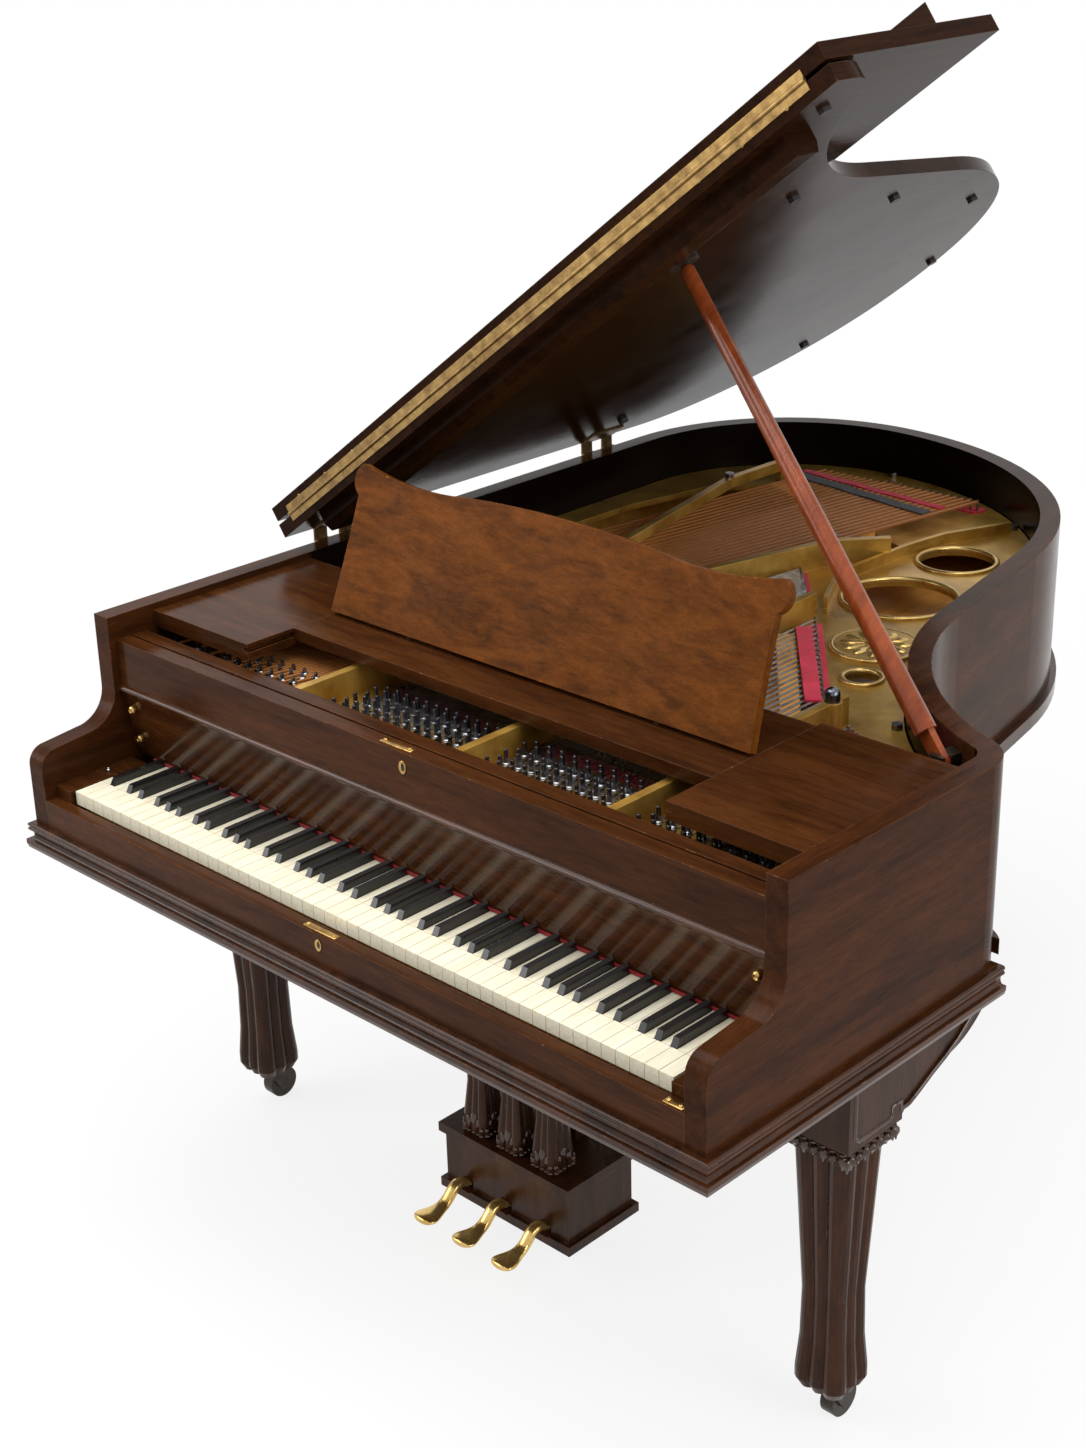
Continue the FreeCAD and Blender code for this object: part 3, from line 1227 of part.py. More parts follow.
def flap_hinge_lid_leaf():
    """The lid's leaf of the long hinge with its knuckle."""
    x0, x1 = leaf_span()
    axis = flap_axis()
    leaf = block(x0, x1, LID_FRONT - FLAP_LEAF_THICKNESS, LID_FRONT, LID_TOP - FLAP_LEAF_HEIGHT, axis.z)
    knuckle = rod(Vector(x0, axis.y, axis.z), Vector(x1, axis.y, axis.z), FLAP_KNUCKLE_RADIUS)
    return [raised(leaf.fuse(knuckle).removeSplitter())]


def flap_hinge_leaf():
    x0, x1 = leaf_span()
    back = LID_FRONT - FLAP_JOINT_GAP
    leaf = block(x0, x1, back, back + FLAP_LEAF_THICKNESS, LID_TOP - FLAP_LEAF_HEIGHT, LID_TOP - REST_GAP)
    return [folded(leaf)]


def lid_flap():
    x0, x1 = flap_span()
    return [folded(block(x0, x1, FLAP_FRONT, LID_FRONT - FLAP_JOINT_GAP, LID_UNDER, LID_TOP))]


def flap_rail():
    """A wedge under the flap, deepest on the side towards the player."""
    x0, x1 = flap_span()
    front = FLAP_FRONT + FLAP_RAIL_SETBACK
    return [folded(side_prism([(front, LID_UNDER), (front + FLAP_RAIL_DEPTH, LID_UNDER),
                               (front + FLAP_RAIL_DEPTH, LID_UNDER - FLAP_RAIL_TOE),
                               (front, LID_UNDER - FLAP_RAIL_HEIGHT)],
                              x0 + BATTEN_INSET, x1 - FLAP_RAIL_INSET))]


def prop_seat():
    """Where the prop meets the plate under the raised lid."""
    seat = Part.Vertex(PROP_REACH, PROP_REACH_DEPTH, LID_UNDER - CUP_THICKNESS)
    return raised(seat).Point


def prop_pivot():
    return Vector(PROP_PIVOT_X, PROP_PIVOT_Y, PROP_PIVOT_Z)


def prop_frame():
    """The prop's own direction, its level direction and the level axis that it turns about."""
    way = (prop_seat() - prop_pivot()).normalize()
    level = Vector(way.x, way.y, 0).normalize()
    return way, level, Vector(-level.y, level.x, 0)


def slanted_block(origin, axes, sizes):
    """A block between low and high distances along three square axes from origin."""
    (a0, a1), (b0, b1), (c0, c1) = sizes
    u, v, w = axes
    base = [origin + u * a + v * b + w * c0 for a, b in ((a0, b0), (a1, b0), (a1, b1), (a0, b1))]
    return polygon(base).extrude(w * (c1 - c0))


def prop_stick():
    """A tapered round stick with a tongue at its foot, bored for the pin, and a rounded tip."""
    way, level, axis = prop_frame()
    pivot = prop_pivot()
    tip = PROP_TIP_DIAMETER / 2
    length = (prop_seat() - pivot).Length - tip / LID_LEAN_SHARE - REST_GAP
    root = PROP_TONGUE_LENGTH
    stick = Part.makeCone(PROP_BASE_DIAMETER / 2, tip, length - root, pivot + way * root, way)
    up = axis.cross(way)
    half = PROP_TONGUE / 2
    knuckle = PROP_TONGUE_WIDTH / 2
    reach = (0, root + PROP_TONGUE)
    tongue = slanted_block(pivot, (way, up, axis), (reach, (-knuckle, knuckle), (-half, half)))
    eye = rod(pivot - axis * half, pivot + axis * half, knuckle)
    stick = stick.multiFuse([Part.makeSphere(tip, pivot + way * length), tongue, eye]).removeSplitter()
    side = axis * PROP_TONGUE
    return [stick.cut(rod(pivot - side, pivot + side, PROP_PIN_DIAMETER / 2 + FIT))]


def prop_bracket():
    """A forked bracket on the inner face of the rim with the pin that the prop turns on."""
    way, level, axis = prop_frame()
    pivot = prop_pivot()
    up = Vector(0, 0, 1)
    reach = PROP_TONGUE_WIDTH / 2
    near = PROP_TONGUE / 2 + REST_GAP
    far = near + PROP_CHEEK
    low = -reach - REST_GAP
    wall = 4 * PROP_TONGUE_WIDTH
    out = axis if axis.y > 0 else axis * -1
    frame = (level, out, up)
    cheek = slanted_block(pivot, frame, ((-reach, reach), (-far, -near), (low - PROP_CHEEK, reach)))
    arm = slanted_block(pivot, frame, ((-reach, reach), (near, wall), (low - PROP_CHEEK, reach)))
    base = slanted_block(pivot, frame, ((-reach, reach), (-far, near), (low - PROP_CHEEK, low)))
    pin = rod(pivot - out * far, pivot + out * far, PROP_PIN_DIAMETER / 2)
    room = case_slab(RIM_WALL, SHELF_BACK, RIM_BOTTOM, RIM_TOP)
    return [cheek.multiFuse([arm, base, pin]).removeSplitter().common(room)]


def prop_cup():
    """The round plate under the lid that the prop's tip bears on."""
    return [raised(Part.makeCylinder(CUP_DIAMETER / 2, CUP_THICKNESS,
                                     Vector(PROP_REACH, PROP_REACH_DEPTH, LID_UNDER - CUP_THICKNESS)))]


def ring_loft(x, y, rows):
    return Part.makeLoft([square(x, y, z, side) for z, side in rows], True, True)


def reeded(x, y, z, side):
    """The ring of a square post whose four faces swell out in reeds."""
    bulge = REED_SHARE * side
    half = side / 2 - bulge
    steps = REED_COUNT * REED_FACETS
    points = []
    for turn in range(4):
        along = left_of(90 * turn)
        out = left_of(90 * turn - 90)
        for i in range(steps):
            swell = abs(math.sin(math.pi * REED_COUNT * i / steps))
            reach = half * (2 * i / steps - 1)
            points.append(Vector(x, y, z) + along * reach + out * (half + bulge * swell))
    return points


def reeded_post(x, y, rows):
    return stacked([reeded(x, y, z, side) for z, side in rows])


def leg(x, y, top, corbel_way):
    """A tapered reeded leg with a flared foot, a collar, a square block and an ogee corbel behind it."""
    block_low = top - LEG_BLOCK_HEIGHT
    collar_low = block_low - LEG_COLLAR_HEIGHT
    rise, drop = FOOT_COVE_SHARES
    cove = LEG_BOTTOM + between(LEG_FOOT_HEIGHT, LEG_NECK_RISE, rise)
    post = reeded_post(x, y, [(LEG_BOTTOM, LEG_SOLE_SIDE), (LEG_BOTTOM + LEG_SOLE_HEIGHT, LEG_FOOT_SIDE),
                              (LEG_BOTTOM + LEG_FOOT_HEIGHT, LEG_FOOT_SIDE),
                              (cove, between(LEG_NECK_SIDE, LEG_FOOT_SIDE, drop)),
                              (LEG_BOTTOM + LEG_NECK_RISE, LEG_NECK_SIDE), (collar_low, LEG_TOP_SIDE)])
    collar = ring_loft(x, y, [(collar_low, LEG_COLLAR_SIDE),
                              (collar_low + LEG_COLLAR_HEIGHT / 2, LEG_COLLAR_SIDE),
                              (block_low, LEG_TOP_SIDE)])
    half = LEG_BLOCK_SIDE / 2
    head = block(x - half, x + half, y - half, y + half, block_low, top)
    drop = LEG_BLOCK_HEIGHT - CORBEL_TIP
    start, end = y + half, y + half + CORBEL_LENGTH
    mid = (start + end) / 2
    rise = CORBEL_LENGTH / 2
    a, b = Vector(0, start, block_low), Vector(0, mid, block_low + drop / 2)
    c = Vector(0, end, top - CORBEL_TIP)
    bow = Vector(0, drop, -rise).normalize() * (drop * OGEE_BOW_SHARE)
    edges = [Part.Arc(a, (a + b) * 0.5 - bow, b).toShape(), Part.Arc(b, (b + c) * 0.5 + bow, c).toShape(),
             Part.makeLine(c, Vector(0, end, top)), Part.makeLine(Vector(0, end, top), Vector(0, start, top)),
             Part.makeLine(Vector(0, start, top), a)]
    corbel = Part.Face(Part.Wire(edges)).extrude(Vector(CORBEL_WIDTH, 0, 0))
    corbel.translate(Vector(x - CORBEL_WIDTH / 2, 0, 0))
    if corbel_way < 0:
        corbel.rotate(Vector(x, y, 0), Vector(0, 0, 1), 180)
    bore = Part.makeCylinder(STEM_DIAMETER / 2 + FIT, STEM_LENGTH + SWIVEL_GAP, Vector(x, y, LEG_BOTTOM))
    return [post.multiFuse([collar, head]).removeSplitter().cut(bore), corbel]


def leg_places():
    return {"front_left": (-LEG_X, LEG_Y, KEYBED_BOTTOM, 1), "front_right": (LEG_X, LEG_Y, KEYBED_BOTTOM, 1),
            "rear": (REAR_LEG_X, REAR_LEG_Y, RIM_BOTTOM, -1)}


def caster_fork(x, y):
    """A swivelling stem with a crown, two cheeks and the wheel's axle, trailing behind the stem."""
    crown_top = LEG_BOTTOM - SWIVEL_GAP
    half = WHEEL_WIDTH / 2 + FORK_GAP
    wheel_y = y + CASTER_TRAIL
    radius = WHEEL_DIAMETER / 2
    foot = Vector(x, y, crown_top - FORK_PLATE)
    stem = Part.makeCylinder(STEM_DIAMETER / 2, STEM_LENGTH + FORK_PLATE, foot)
    crown = block(x - half - FORK_PLATE, x + half + FORK_PLATE, y - STEM_DIAMETER, wheel_y + AXLE_DIAMETER,
                  crown_top - FORK_PLATE, crown_top)
    pieces = [crown]
    for side in (-1, 1):
        a, b = sorted((x + side * half, x + side * (half + FORK_PLATE)))
        pieces.append(side_prism([(y - STEM_DIAMETER, crown_top - FORK_PLATE),
                                  (wheel_y + AXLE_DIAMETER, crown_top - FORK_PLATE),
                                  (wheel_y + AXLE_DIAMETER, radius - AXLE_DIAMETER),
                                  (wheel_y - AXLE_DIAMETER, radius - AXLE_DIAMETER)], a, b))
    reach = half + FORK_PLATE
    pieces.append(rod(Vector(x - reach, wheel_y, radius), Vector(x + reach, wheel_y, radius),
                      AXLE_DIAMETER / 2))
    return [stem.multiFuse(pieces).removeSplitter()]


def caster_wheel(x, y):
    radius, half = WHEEL_DIAMETER / 2, WHEEL_WIDTH / 2
    middle = y + CASTER_TRAIL
    wheel = rod(Vector(x - half, middle, radius), Vector(x + half, middle, radius), radius)
    bore = rod(Vector(x - half - OVERRUN, middle, radius), Vector(x + half + OVERRUN, middle, radius),
               AXLE_DIAMETER / 2 + FIT)
    return [wheel.cut(bore)]


def pedal_box():
    """A hollow box with a moulded cap and foot, slotted for the pedals and bored for their rods."""
    w, y0, y1 = LYRE_HALF_WIDTH, LYRE_FRONT, LYRE_BACK
    out = LYRE_CAP_PROJECTION
    z0, z1 = LYRE_BOTTOM, LYRE_BOX_TOP
    box = block(-w, w, y0, y1, z0, z1)
    cap = block(-w - out, w + out, y0 - out, y1 + out, z1 - LYRE_CAP, z1)
    foot = block(-w - out, w + out, y0 - out, y1 + out, z0, z0 + LYRE_CAP)
    box = box.multiFuse([cap, foot]).removeSplitter()
    box = box.cut(block(-w + LYRE_WALL, w - LYRE_WALL, y0 + LYRE_WALL, y1 - LYRE_WALL,
                        z0 + LYRE_CAP, z1 - LYRE_CAP))
    for x in PEDAL_XS:
        half = PEDAL_WIDTH / 2 + SIDE_CLEARANCE
        box = box.cut(block(x - half, x + half, y0 - OVERRUN, y0 + LYRE_WALL + OVERRUN,
                            PEDAL_HEIGHT - PEDAL_SLOT_DROP, PEDAL_HEIGHT + PEDAL_SLOT_RISE))
        box = box.cut(Part.makeCylinder(ROD_DIAMETER / 2 + ROD_HOLE_CLEARANCE, 2 * OVERRUN,
                                        Vector(x, ROD_DEPTH, z1 - OVERRUN)))
    ledge = block(-w + LYRE_WALL, w - LYRE_WALL, PEDAL_PIVOT_DEPTH - PEDAL_PIN_DIAMETER,
                  PEDAL_PIVOT_DEPTH + PEDAL_PIN_DIAMETER, z0 + LYRE_CAP,
                  PEDAL_HEIGHT - PEDAL_PIN_DIAMETER / 2)
    axle = rod(Vector(-w + LYRE_WALL, PEDAL_PIVOT_DEPTH, PEDAL_HEIGHT),
               Vector(w - LYRE_WALL, PEDAL_PIVOT_DEPTH, PEDAL_HEIGHT), PEDAL_PIN_DIAMETER / 2)
    box = box.fuse(axle)
    for x in (-PEDAL_SPACING / 2, PEDAL_SPACING / 2):
        stand = ledge.common(block(x - LYRE_WALL / 2, x + LYRE_WALL / 2, y0, y1, z0, z1))
        box = box.fuse(stand)
    return [box.removeSplitter()]


def pedal(x):
    """A brass lever bored for its axle, with a broad round toe that dips towards the player."""
    half, toe = PEDAL_WIDTH / 2, PEDAL_TIP_WIDTH / 2
    z0, z1 = PEDAL_HEIGHT - PEDAL_THICKNESS / 2, PEDAL_HEIGHT + PEDAL_THICKNESS / 2
    low = z0 - PEDAL_DIP
    neck = PEDAL_TIP + PEDAL_TOE_LENGTH
    back = ROD_DEPTH + ROD_DIAMETER / 2
    a, b = Vector(x - toe, PEDAL_TIP + toe, low), Vector(x, PEDAL_TIP, low)
    c = Vector(x + toe, PEDAL_TIP + toe, low)
    d, e = Vector(x + half, neck, low), Vector(x + half, back, low)
    f, g = Vector(x - half, back, low), Vector(x - half, neck, low)
    edges = [Part.Arc(a, b, c).toShape()]
    edges += [Part.makeLine(*pair) for pair in ((c, d), (d, e), (e, f), (f, g), (g, a))]
    plan = Part.Face(Part.Wire(edges)).extrude(Vector(0, 0, z1 - low))
    bend = [(PEDAL_TIP + PEDAL_DIP_LENGTH * (1 - along), PEDAL_DIP * down)
            for along, down in PEDAL_DIP_SHARES]
    upper = [(back, z1)] + [(y, z1 - down) for y, down in bend]
    under = [(y, z0 - down) for y, down in reversed(bend)] + [(back, z0)]
    lever = plan.common(side_prism(upper + under, x - toe, x + toe))
    hub = rod(Vector(x - half, PEDAL_PIVOT_DEPTH, PEDAL_HEIGHT),
              Vector(x + half, PEDAL_PIVOT_DEPTH, PEDAL_HEIGHT), PEDAL_PIN_DIAMETER)
    lever = lever.fuse(hub).removeSplitter()
    return [lever.cut(rod(Vector(x - toe, PEDAL_PIVOT_DEPTH, PEDAL_HEIGHT),
                          Vector(x + toe, PEDAL_PIVOT_DEPTH, PEDAL_HEIGHT),
                          PEDAL_PIN_DIAMETER / 2 + FIT))]


def pedal_rod(x):
    """A rod from the pedal's heel up through the keybed; the right one reaches the damper rail."""
    low = PEDAL_HEIGHT + PEDAL_THICKNESS / 2 + REST_GAP
    top = DAMPER_RAIL_TOP - DAMPER_RAIL_HEIGHT - REST_GAP if x > 0 else RIM_BOTTOM - PEDAL_SLOT_RISE
    return [Part.makeCylinder(ROD_DIAMETER / 2, top - low, Vector(x, ROD_DEPTH, low))]


def lyre_posts():
    """Three reeded columns in front and two plain ones behind, under one top block, with two braces."""
    y = LYRE_FRONT + COLUMN_INSET
    low, top = LYRE_BOX_TOP, KEYBED_BOTTOM - LYRE_TOP_BLOCK
    pieces = []
    for x in (-COLUMN_SPACING, 0.0, COLUMN_SPACING):
        pieces.append(reeded_post(x, y, [(low, COLUMN_FLARE_SIDE),
                                         (low + COLUMN_FLARE_HEIGHT / 3, COLUMN_FLARE_SIDE),
                                         (low + COLUMN_FLARE_HEIGHT, COLUMN_SIDE), (top, COLUMN_SIDE)]))
    rear = LYRE_BACK - COLUMN_INSET
    for x in (-REAR_COLUMN_X, REAR_COLUMN_X):
        pieces.append(ring_loft(x, rear, [(low, REAR_COLUMN_SIDE), (top, REAR_COLUMN_SIDE)]))
    w = LYRE_HALF_WIDTH
    cap = block(-w, w, LYRE_FRONT, LYRE_BACK, top, KEYBED_BOTTOM)
    for x in PEDAL_XS:
        cap = cap.cut(Part.makeCylinder(ROD_DIAMETER / 2 + ROD_HOLE_CLEARANCE, LYRE_TOP_BLOCK + 2 * OVERRUN,
                                        Vector(x, ROD_DEPTH, top - OVERRUN)))
    pieces.append(cap)
    return pieces


def lyre_braces():
    """Two stays from the back of the pedal box up to the keybed."""
    room = block(-CASE_WIDTH, CASE_WIDTH, LYRE_BACK + LYRE_CAP_PROJECTION, 2 * CASE_LENGTH, 0, KEYBED_BOTTOM)
    braces = []
    for side in (-1, 1):
        x = side * (LYRE_HALF_WIDTH - BRACE_DIAMETER)
        foot = Vector(x, LYRE_BACK - OVERRUN, LYRE_BOX_TOP - LYRE_CAP - BRACE_DIAMETER)
        head = Vector(x, KEYBED_DEPTH - BRACE_DIAMETER, KEYBED_BOTTOM)
        way = (head - foot).normalize() * BRACE_RUN
        braces.append(rod(foot - way, head + way, BRACE_DIAMETER / 2).common(room))
    return braces


def build():
    """Every node's solids by name, in the drawing's own place."""
    nodes = {
        "outer_rim": outer_rim(), "inner_rim": inner_rim(), "keybed": keybed(), "key_slip": key_slip(),
        "key_blocks": key_blocks(), "case_mouldings": base_moulding() + rim_bead(),
        "back_frame": back_frame(), "stretcher": stretcher(), "pinblock": pinblock(),
        "soundboard": soundboard(), "soundboard_ribs": soundboard_ribs(), "bridges": bridges(),
        "plate": plate(), "plate_bolts": plate_bolts(), "tuning_pins": tuning_pins(),
        "hitch_pins": hitch_pins(), "bass_strings": strings(True), "treble_strings": strings(False),
        "felt_strips": felt_strips(), "key_frame": key_frame(), "white_keys": white_keys(),
        "black_keys": black_keys(), "white_key_hammers": hammers(True), "black_key_hammers": hammers(False),
        "dampers": dampers(), "fallboard": fallboard(), "fallboard_flap": fallboard_flap(),
        "side_shelves": side_shelves() + shelf_cleats(), "music_tray": music_tray(),
        "music_desk": music_desk(), "desk_struts": desk_struts(), "lid_panel": lid_panel(),
        "lid_batten": lid_batten(), "lid_bumpers": lid_bumpers(), "lid_hinge_leaves": lid_hinge_leaves(),
        "lid_hinge_fixed_leaves": lid_hinge_fixed_leaves(), "flap_hinge_lid_leaf": flap_hinge_lid_leaf(),
        "flap_hinge_leaf": flap_hinge_leaf(), "lid_flap": lid_flap(), "flap_rail": flap_rail(),
        "prop_stick": prop_stick(), "prop_bracket": prop_bracket(), "prop_cup": prop_cup(),
        "pedal_box": pedal_box(), "lyre_posts": lyre_posts() + lyre_braces(),
    }
    for name, (x, y, top, way) in leg_places().items():
        nodes[name + "_leg"] = leg(x, y, top, way)
        nodes[name + "_caster_fork"] = caster_fork(x, y)
        nodes[name + "_caster_wheel"] = caster_wheel(x, y)
    for name, x in zip(("left", "middle", "right"), PEDAL_XS):
        nodes[name + "_pedal"] = pedal(x)
        nodes[name + "_pedal_rod"] = pedal_rod(x)
    return nodes


def origin_of(nodes):
    """The point under the middle of the whole part's box, on the floor."""
    box = FreeCAD.BoundBox()
    for solids in nodes.values():
        for solid in solids:
            box.add(solid.optimalBoundingBox(False, False))
    return Vector((box.XMin + box.XMax) / 2, (box.YMin + box.YMax) / 2, 0)


def main():
    nodes = build()
    origin = origin_of(nodes)
    os.makedirs("parts", exist_ok=True)
    for name, solids in nodes.items():
        shape = solids[0] if len(solids) == 1 else Part.makeCompound(solids)
        shape.translate(origin * -1)
        shape.exportStep(os.path.join("parts", name + ".step"))


if __name__ == "__main__":
    main()
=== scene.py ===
import math
import bpy
from mathutils import Matrix, Vector


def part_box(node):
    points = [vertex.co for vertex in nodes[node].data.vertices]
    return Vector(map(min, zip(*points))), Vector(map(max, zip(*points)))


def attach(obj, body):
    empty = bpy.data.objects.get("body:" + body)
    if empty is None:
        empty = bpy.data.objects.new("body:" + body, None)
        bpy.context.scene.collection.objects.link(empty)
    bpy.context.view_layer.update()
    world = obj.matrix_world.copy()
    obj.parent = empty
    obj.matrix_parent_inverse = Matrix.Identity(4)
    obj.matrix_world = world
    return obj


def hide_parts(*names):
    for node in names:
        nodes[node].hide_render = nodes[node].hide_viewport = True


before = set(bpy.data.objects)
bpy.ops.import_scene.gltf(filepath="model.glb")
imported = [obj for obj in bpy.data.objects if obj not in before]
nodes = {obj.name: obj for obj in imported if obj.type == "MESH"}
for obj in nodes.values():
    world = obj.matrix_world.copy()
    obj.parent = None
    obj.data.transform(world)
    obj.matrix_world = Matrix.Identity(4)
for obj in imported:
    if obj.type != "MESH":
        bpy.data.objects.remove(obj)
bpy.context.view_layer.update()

# the drawing's own zero: middle of the keyboard, front of the arms, floor
keysLow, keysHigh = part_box("white_keys")
home = Vector(((keysLow.x + keysHigh.x) / 2, keysLow.y - 0.029, 0.0))


def at(x, y, z):  # millimetres from that zero, to metres in the frame
    return home + Vector((x, y, z)) / 1000


print("stage: frame loaded,", len(nodes), "nodes")


# shader helpers

def feed(tree, socket, value):  # another node's output is linked, a plain value is set
    if hasattr(value, "links"):
        tree.links.new(value, socket)
    elif value is not None:
        socket.default_value = value


def newGroup(name, inputs, outputs):
    tree = bpy.data.node_groups.new(name, "ShaderNodeTree")
    for label, kind, value in inputs:
        socket = tree.interface.new_socket(label, in_out="INPUT", socket_type=kind)
        if value is not None:
            socket.default_value = value
    for label, kind in outputs:
        tree.interface.new_socket(label, in_out="OUTPUT", socket_type=kind)
    return tree, tree.nodes.new("NodeGroupInput"), tree.nodes.new("NodeGroupOutput")


def mathNode(tree, operation, first, second=None, clamp=False):
    node = tree.nodes.new("ShaderNodeMath")
    node.operation = operation
    node.use_clamp = clamp
    for socket, value in zip(node.inputs, (first, second)):
        feed(tree, socket, value)
    return node.outputs[0]


def vectorNode(tree, operation, answer, first, second=None):
    node = tree.nodes.new("ShaderNodeVectorMath")
    node.operation = operation
    for socket, value in zip(node.inputs, (first, second)):
        feed(tree, socket, value)
    return node.outputs[answer]


def rangeNode(tree, value, low, high, toLow=0.0, toHigh=1.0):
    node = tree.nodes.new("ShaderNodeMapRange")
    tree.links.new(value, node.inputs["Value"])
    for label, number in (("From Min", low), ("From Max", high), ("To Min", toLow), ("To Max", toHigh)):
        node.inputs[label].default_value = number
    return node.outputs["Result"]


def mixColour(tree, factor, first, second):
    node = tree.nodes.new("ShaderNodeMix")
    node.data_type = "RGBA"
    colourSockets = (node.inputs[0], node.inputs[6], node.inputs[7])  # factor, A and B of the colour mix
    for socket, value in zip(colourSockets, (factor, first, second)):
        feed(tree, socket, value)
    return node.outputs[2]


def noiseNode(tree, vector, scale, detail=4.0, rough=0.55, warp=0.0):
    node = tree.nodes.new("ShaderNodeTexNoise")
    tree.links.new(vector, node.inputs["Vector"])
    node.inputs["Scale"].default_value = scale
    node.inputs["Detail"].default_value = detail
    node.inputs["Roughness"].default_value = rough
    node.inputs["Distortion"].default_value = warp
    return node.outputs["Fac"]


def easedNormal(tree, radius):  # the normal of edges that are eased by hand
    node = tree.nodes.new("ShaderNodeBevel")
    node.samples = 4
    node.inputs["Radius"].default_value = radius
    return node.outputs["Normal"]


def bumpNode(tree, height, strength, distance, rounding=0.0):
    node = tree.nodes.new("ShaderNodeBump")
    node.inputs["Strength"].default_value = strength
    node.inputs["Distance"].default_value = distance
    tree.links.new(height, node.inputs["Height"])
    if rounding:
        tree.links.new(easedNormal(tree, rounding), node.inputs["Normal"])
    return node.outputs["Normal"]


def buildGrainGroup():
    tree, put, out = newGroup("woodGrain", [("Vector", "NodeSocketVector", None),
                                            ("Dark", "NodeSocketColor", (0.03, 0.01, 0.006, 1)),
                                            ("Light", "NodeSocketColor", (0.12, 0.05, 0.02, 1)),
                                            ("Figure", "NodeSocketFloat", 0.5)],
                              [("Color", "NodeSocketColor"), ("Height", "NodeSocketFloat")])
    vector = put.outputs["Vector"]
    streaks = rangeNode(tree, noiseNode(tree, vector, 9.0, 7.0, 0.62, 0.6), 0.3, 0.7)
    pores = rangeNode(tree, noiseNode(tree, vector, 46.0, 3.0, 0.6), 0.42, 0.62)
    cloud = rangeNode(tree, noiseNode(tree, vector, 1.6, 3.0, 0.5, 1.2), 0.32, 0.68)
    figured = mathNode(tree, "MULTIPLY", cloud, put.outputs["Figure"])
    plain = mathNode(tree, "MULTIPLY", streaks, 0.55)
    share = mathNode(tree, "ADD", plain, figured, clamp=True)
    colour = mixColour(tree, share, put.outputs["Dark"], put.outputs["Light"])
    deep = mathNode(tree, "MULTIPLY", pores, 0.3)
    tree.links.new(mixColour(tree, deep, colour, put.outputs["Dark"]), out.inputs["Color"])
    tree.links.new(mathNode(tree, "SUBTRACT", streaks, pores), out.inputs["Height"])
    return tree


rubbedEdge = dict(reach=0.0022, flat=0.995, sharp=0.86)  # metres, then how far the normal bends


def buildWearGroup():
    tree, put, out = newGroup("edgeWear", [("Vector", "NodeSocketVector", None),
                                           ("Amount", "NodeSocketFloat", 1.0)],
                              [("Mask", "NodeSocketFloat"), ("Chips", "NodeSocketFloat")])
    shape = tree.nodes.new("ShaderNodeNewGeometry")
    eased = easedNormal(tree, rubbedEdge["reach"])
    bent = vectorNode(tree, "DOT_PRODUCT", "Value", eased, shape.outputs["Normal"])
    edge = rangeNode(tree, bent, rubbedEdge["flat"], rubbedEdge["sharp"])
    patches = rangeNode(tree, noiseNode(tree, put.outputs["Vector"], 22.0, 5.0, 0.65), 0.36, 0.66)
    rubbed = mathNode(tree, "MULTIPLY", edge, patches)
    tree.links.new(mathNode(tree, "MULTIPLY", rubbed, put.outputs["Amount"], clamp=True), out.inputs["Mask"])
    spots = rangeNode(tree, noiseNode(tree, put.outputs["Vector"], 70.0, 2.0, 0.5), 0.64, 0.7)
    tree.links.new(mathNode(tree, "MULTIPLY", spots, edge, clamp=True), out.inputs["Chips"])
    return tree


def buildSmudgeGroup():
    tree, put, out = newGroup("handledGloss", [("Vector", "NodeSocketVector", None),
                                               ("Low", "NodeSocketFloat", 0.15),
                                               ("High", "NodeSocketFloat", 0.3)],
                              [("Rough", "NodeSocketFloat"), ("Height", "NodeSocketFloat")])
    broad = rangeNode(tree, noiseNode(tree, put.outputs["Vector"], 7.0, 5.0, 0.6), 0.3, 0.72)
    span = mathNode(tree, "SUBTRACT", put.outputs["High"], put.outputs["Low"])
    lift = mathNode(tree, "MULTIPLY", broad, span)
    tree.links.new(mathNode(tree, "ADD", lift, put.outputs["Low"]), out.inputs["Rough"])
    tree.links.new(noiseNode(tree, put.outputs["Vector"], 240.0, 2.0, 0.5), out.inputs["Height"])
    return tree


grainGroup = buildGrainGroup()
wearGroup = buildWearGroup()
smudgeGroup = buildSmudgeGroup()


def startMaterial(name, metallic=0.0, specular=0.5, coat=0.0, coatRough=0.08, sheen=0.0):
    material = bpy.data.materials.new(name)
    material.use_nodes = True
    tree = material.node_tree
    shader = tree.nodes["Principled BSDF"]
    shader.inputs["Metallic"].default_value = metallic
    shader.inputs["Specular IOR Level"].default_value = specular
    shader.inputs["Coat Weight"].default_value = coat
    shader.inputs["Coat Roughness"].default_value = coatRough
    shader.inputs["Sheen Weight"].default_value = sheen
    place = tree.nodes.new("ShaderNodeTexCoord").outputs["Object"]
    return material, tree, shader, place


def stretched(tree, place, scale):
    node = tree.nodes.new("ShaderNodeMapping")
    node.inputs["Scale"].default_value = scale
    tree.links.new(place, node.inputs["Vector"])
    return node.outputs["Vector"]


def useGroup(tree, group, **values):
    node = tree.nodes.new("ShaderNodeGroup")
    node.node_tree = group
    for label, value in values.items():
        feed(tree, node.inputs[label], value)
    return node


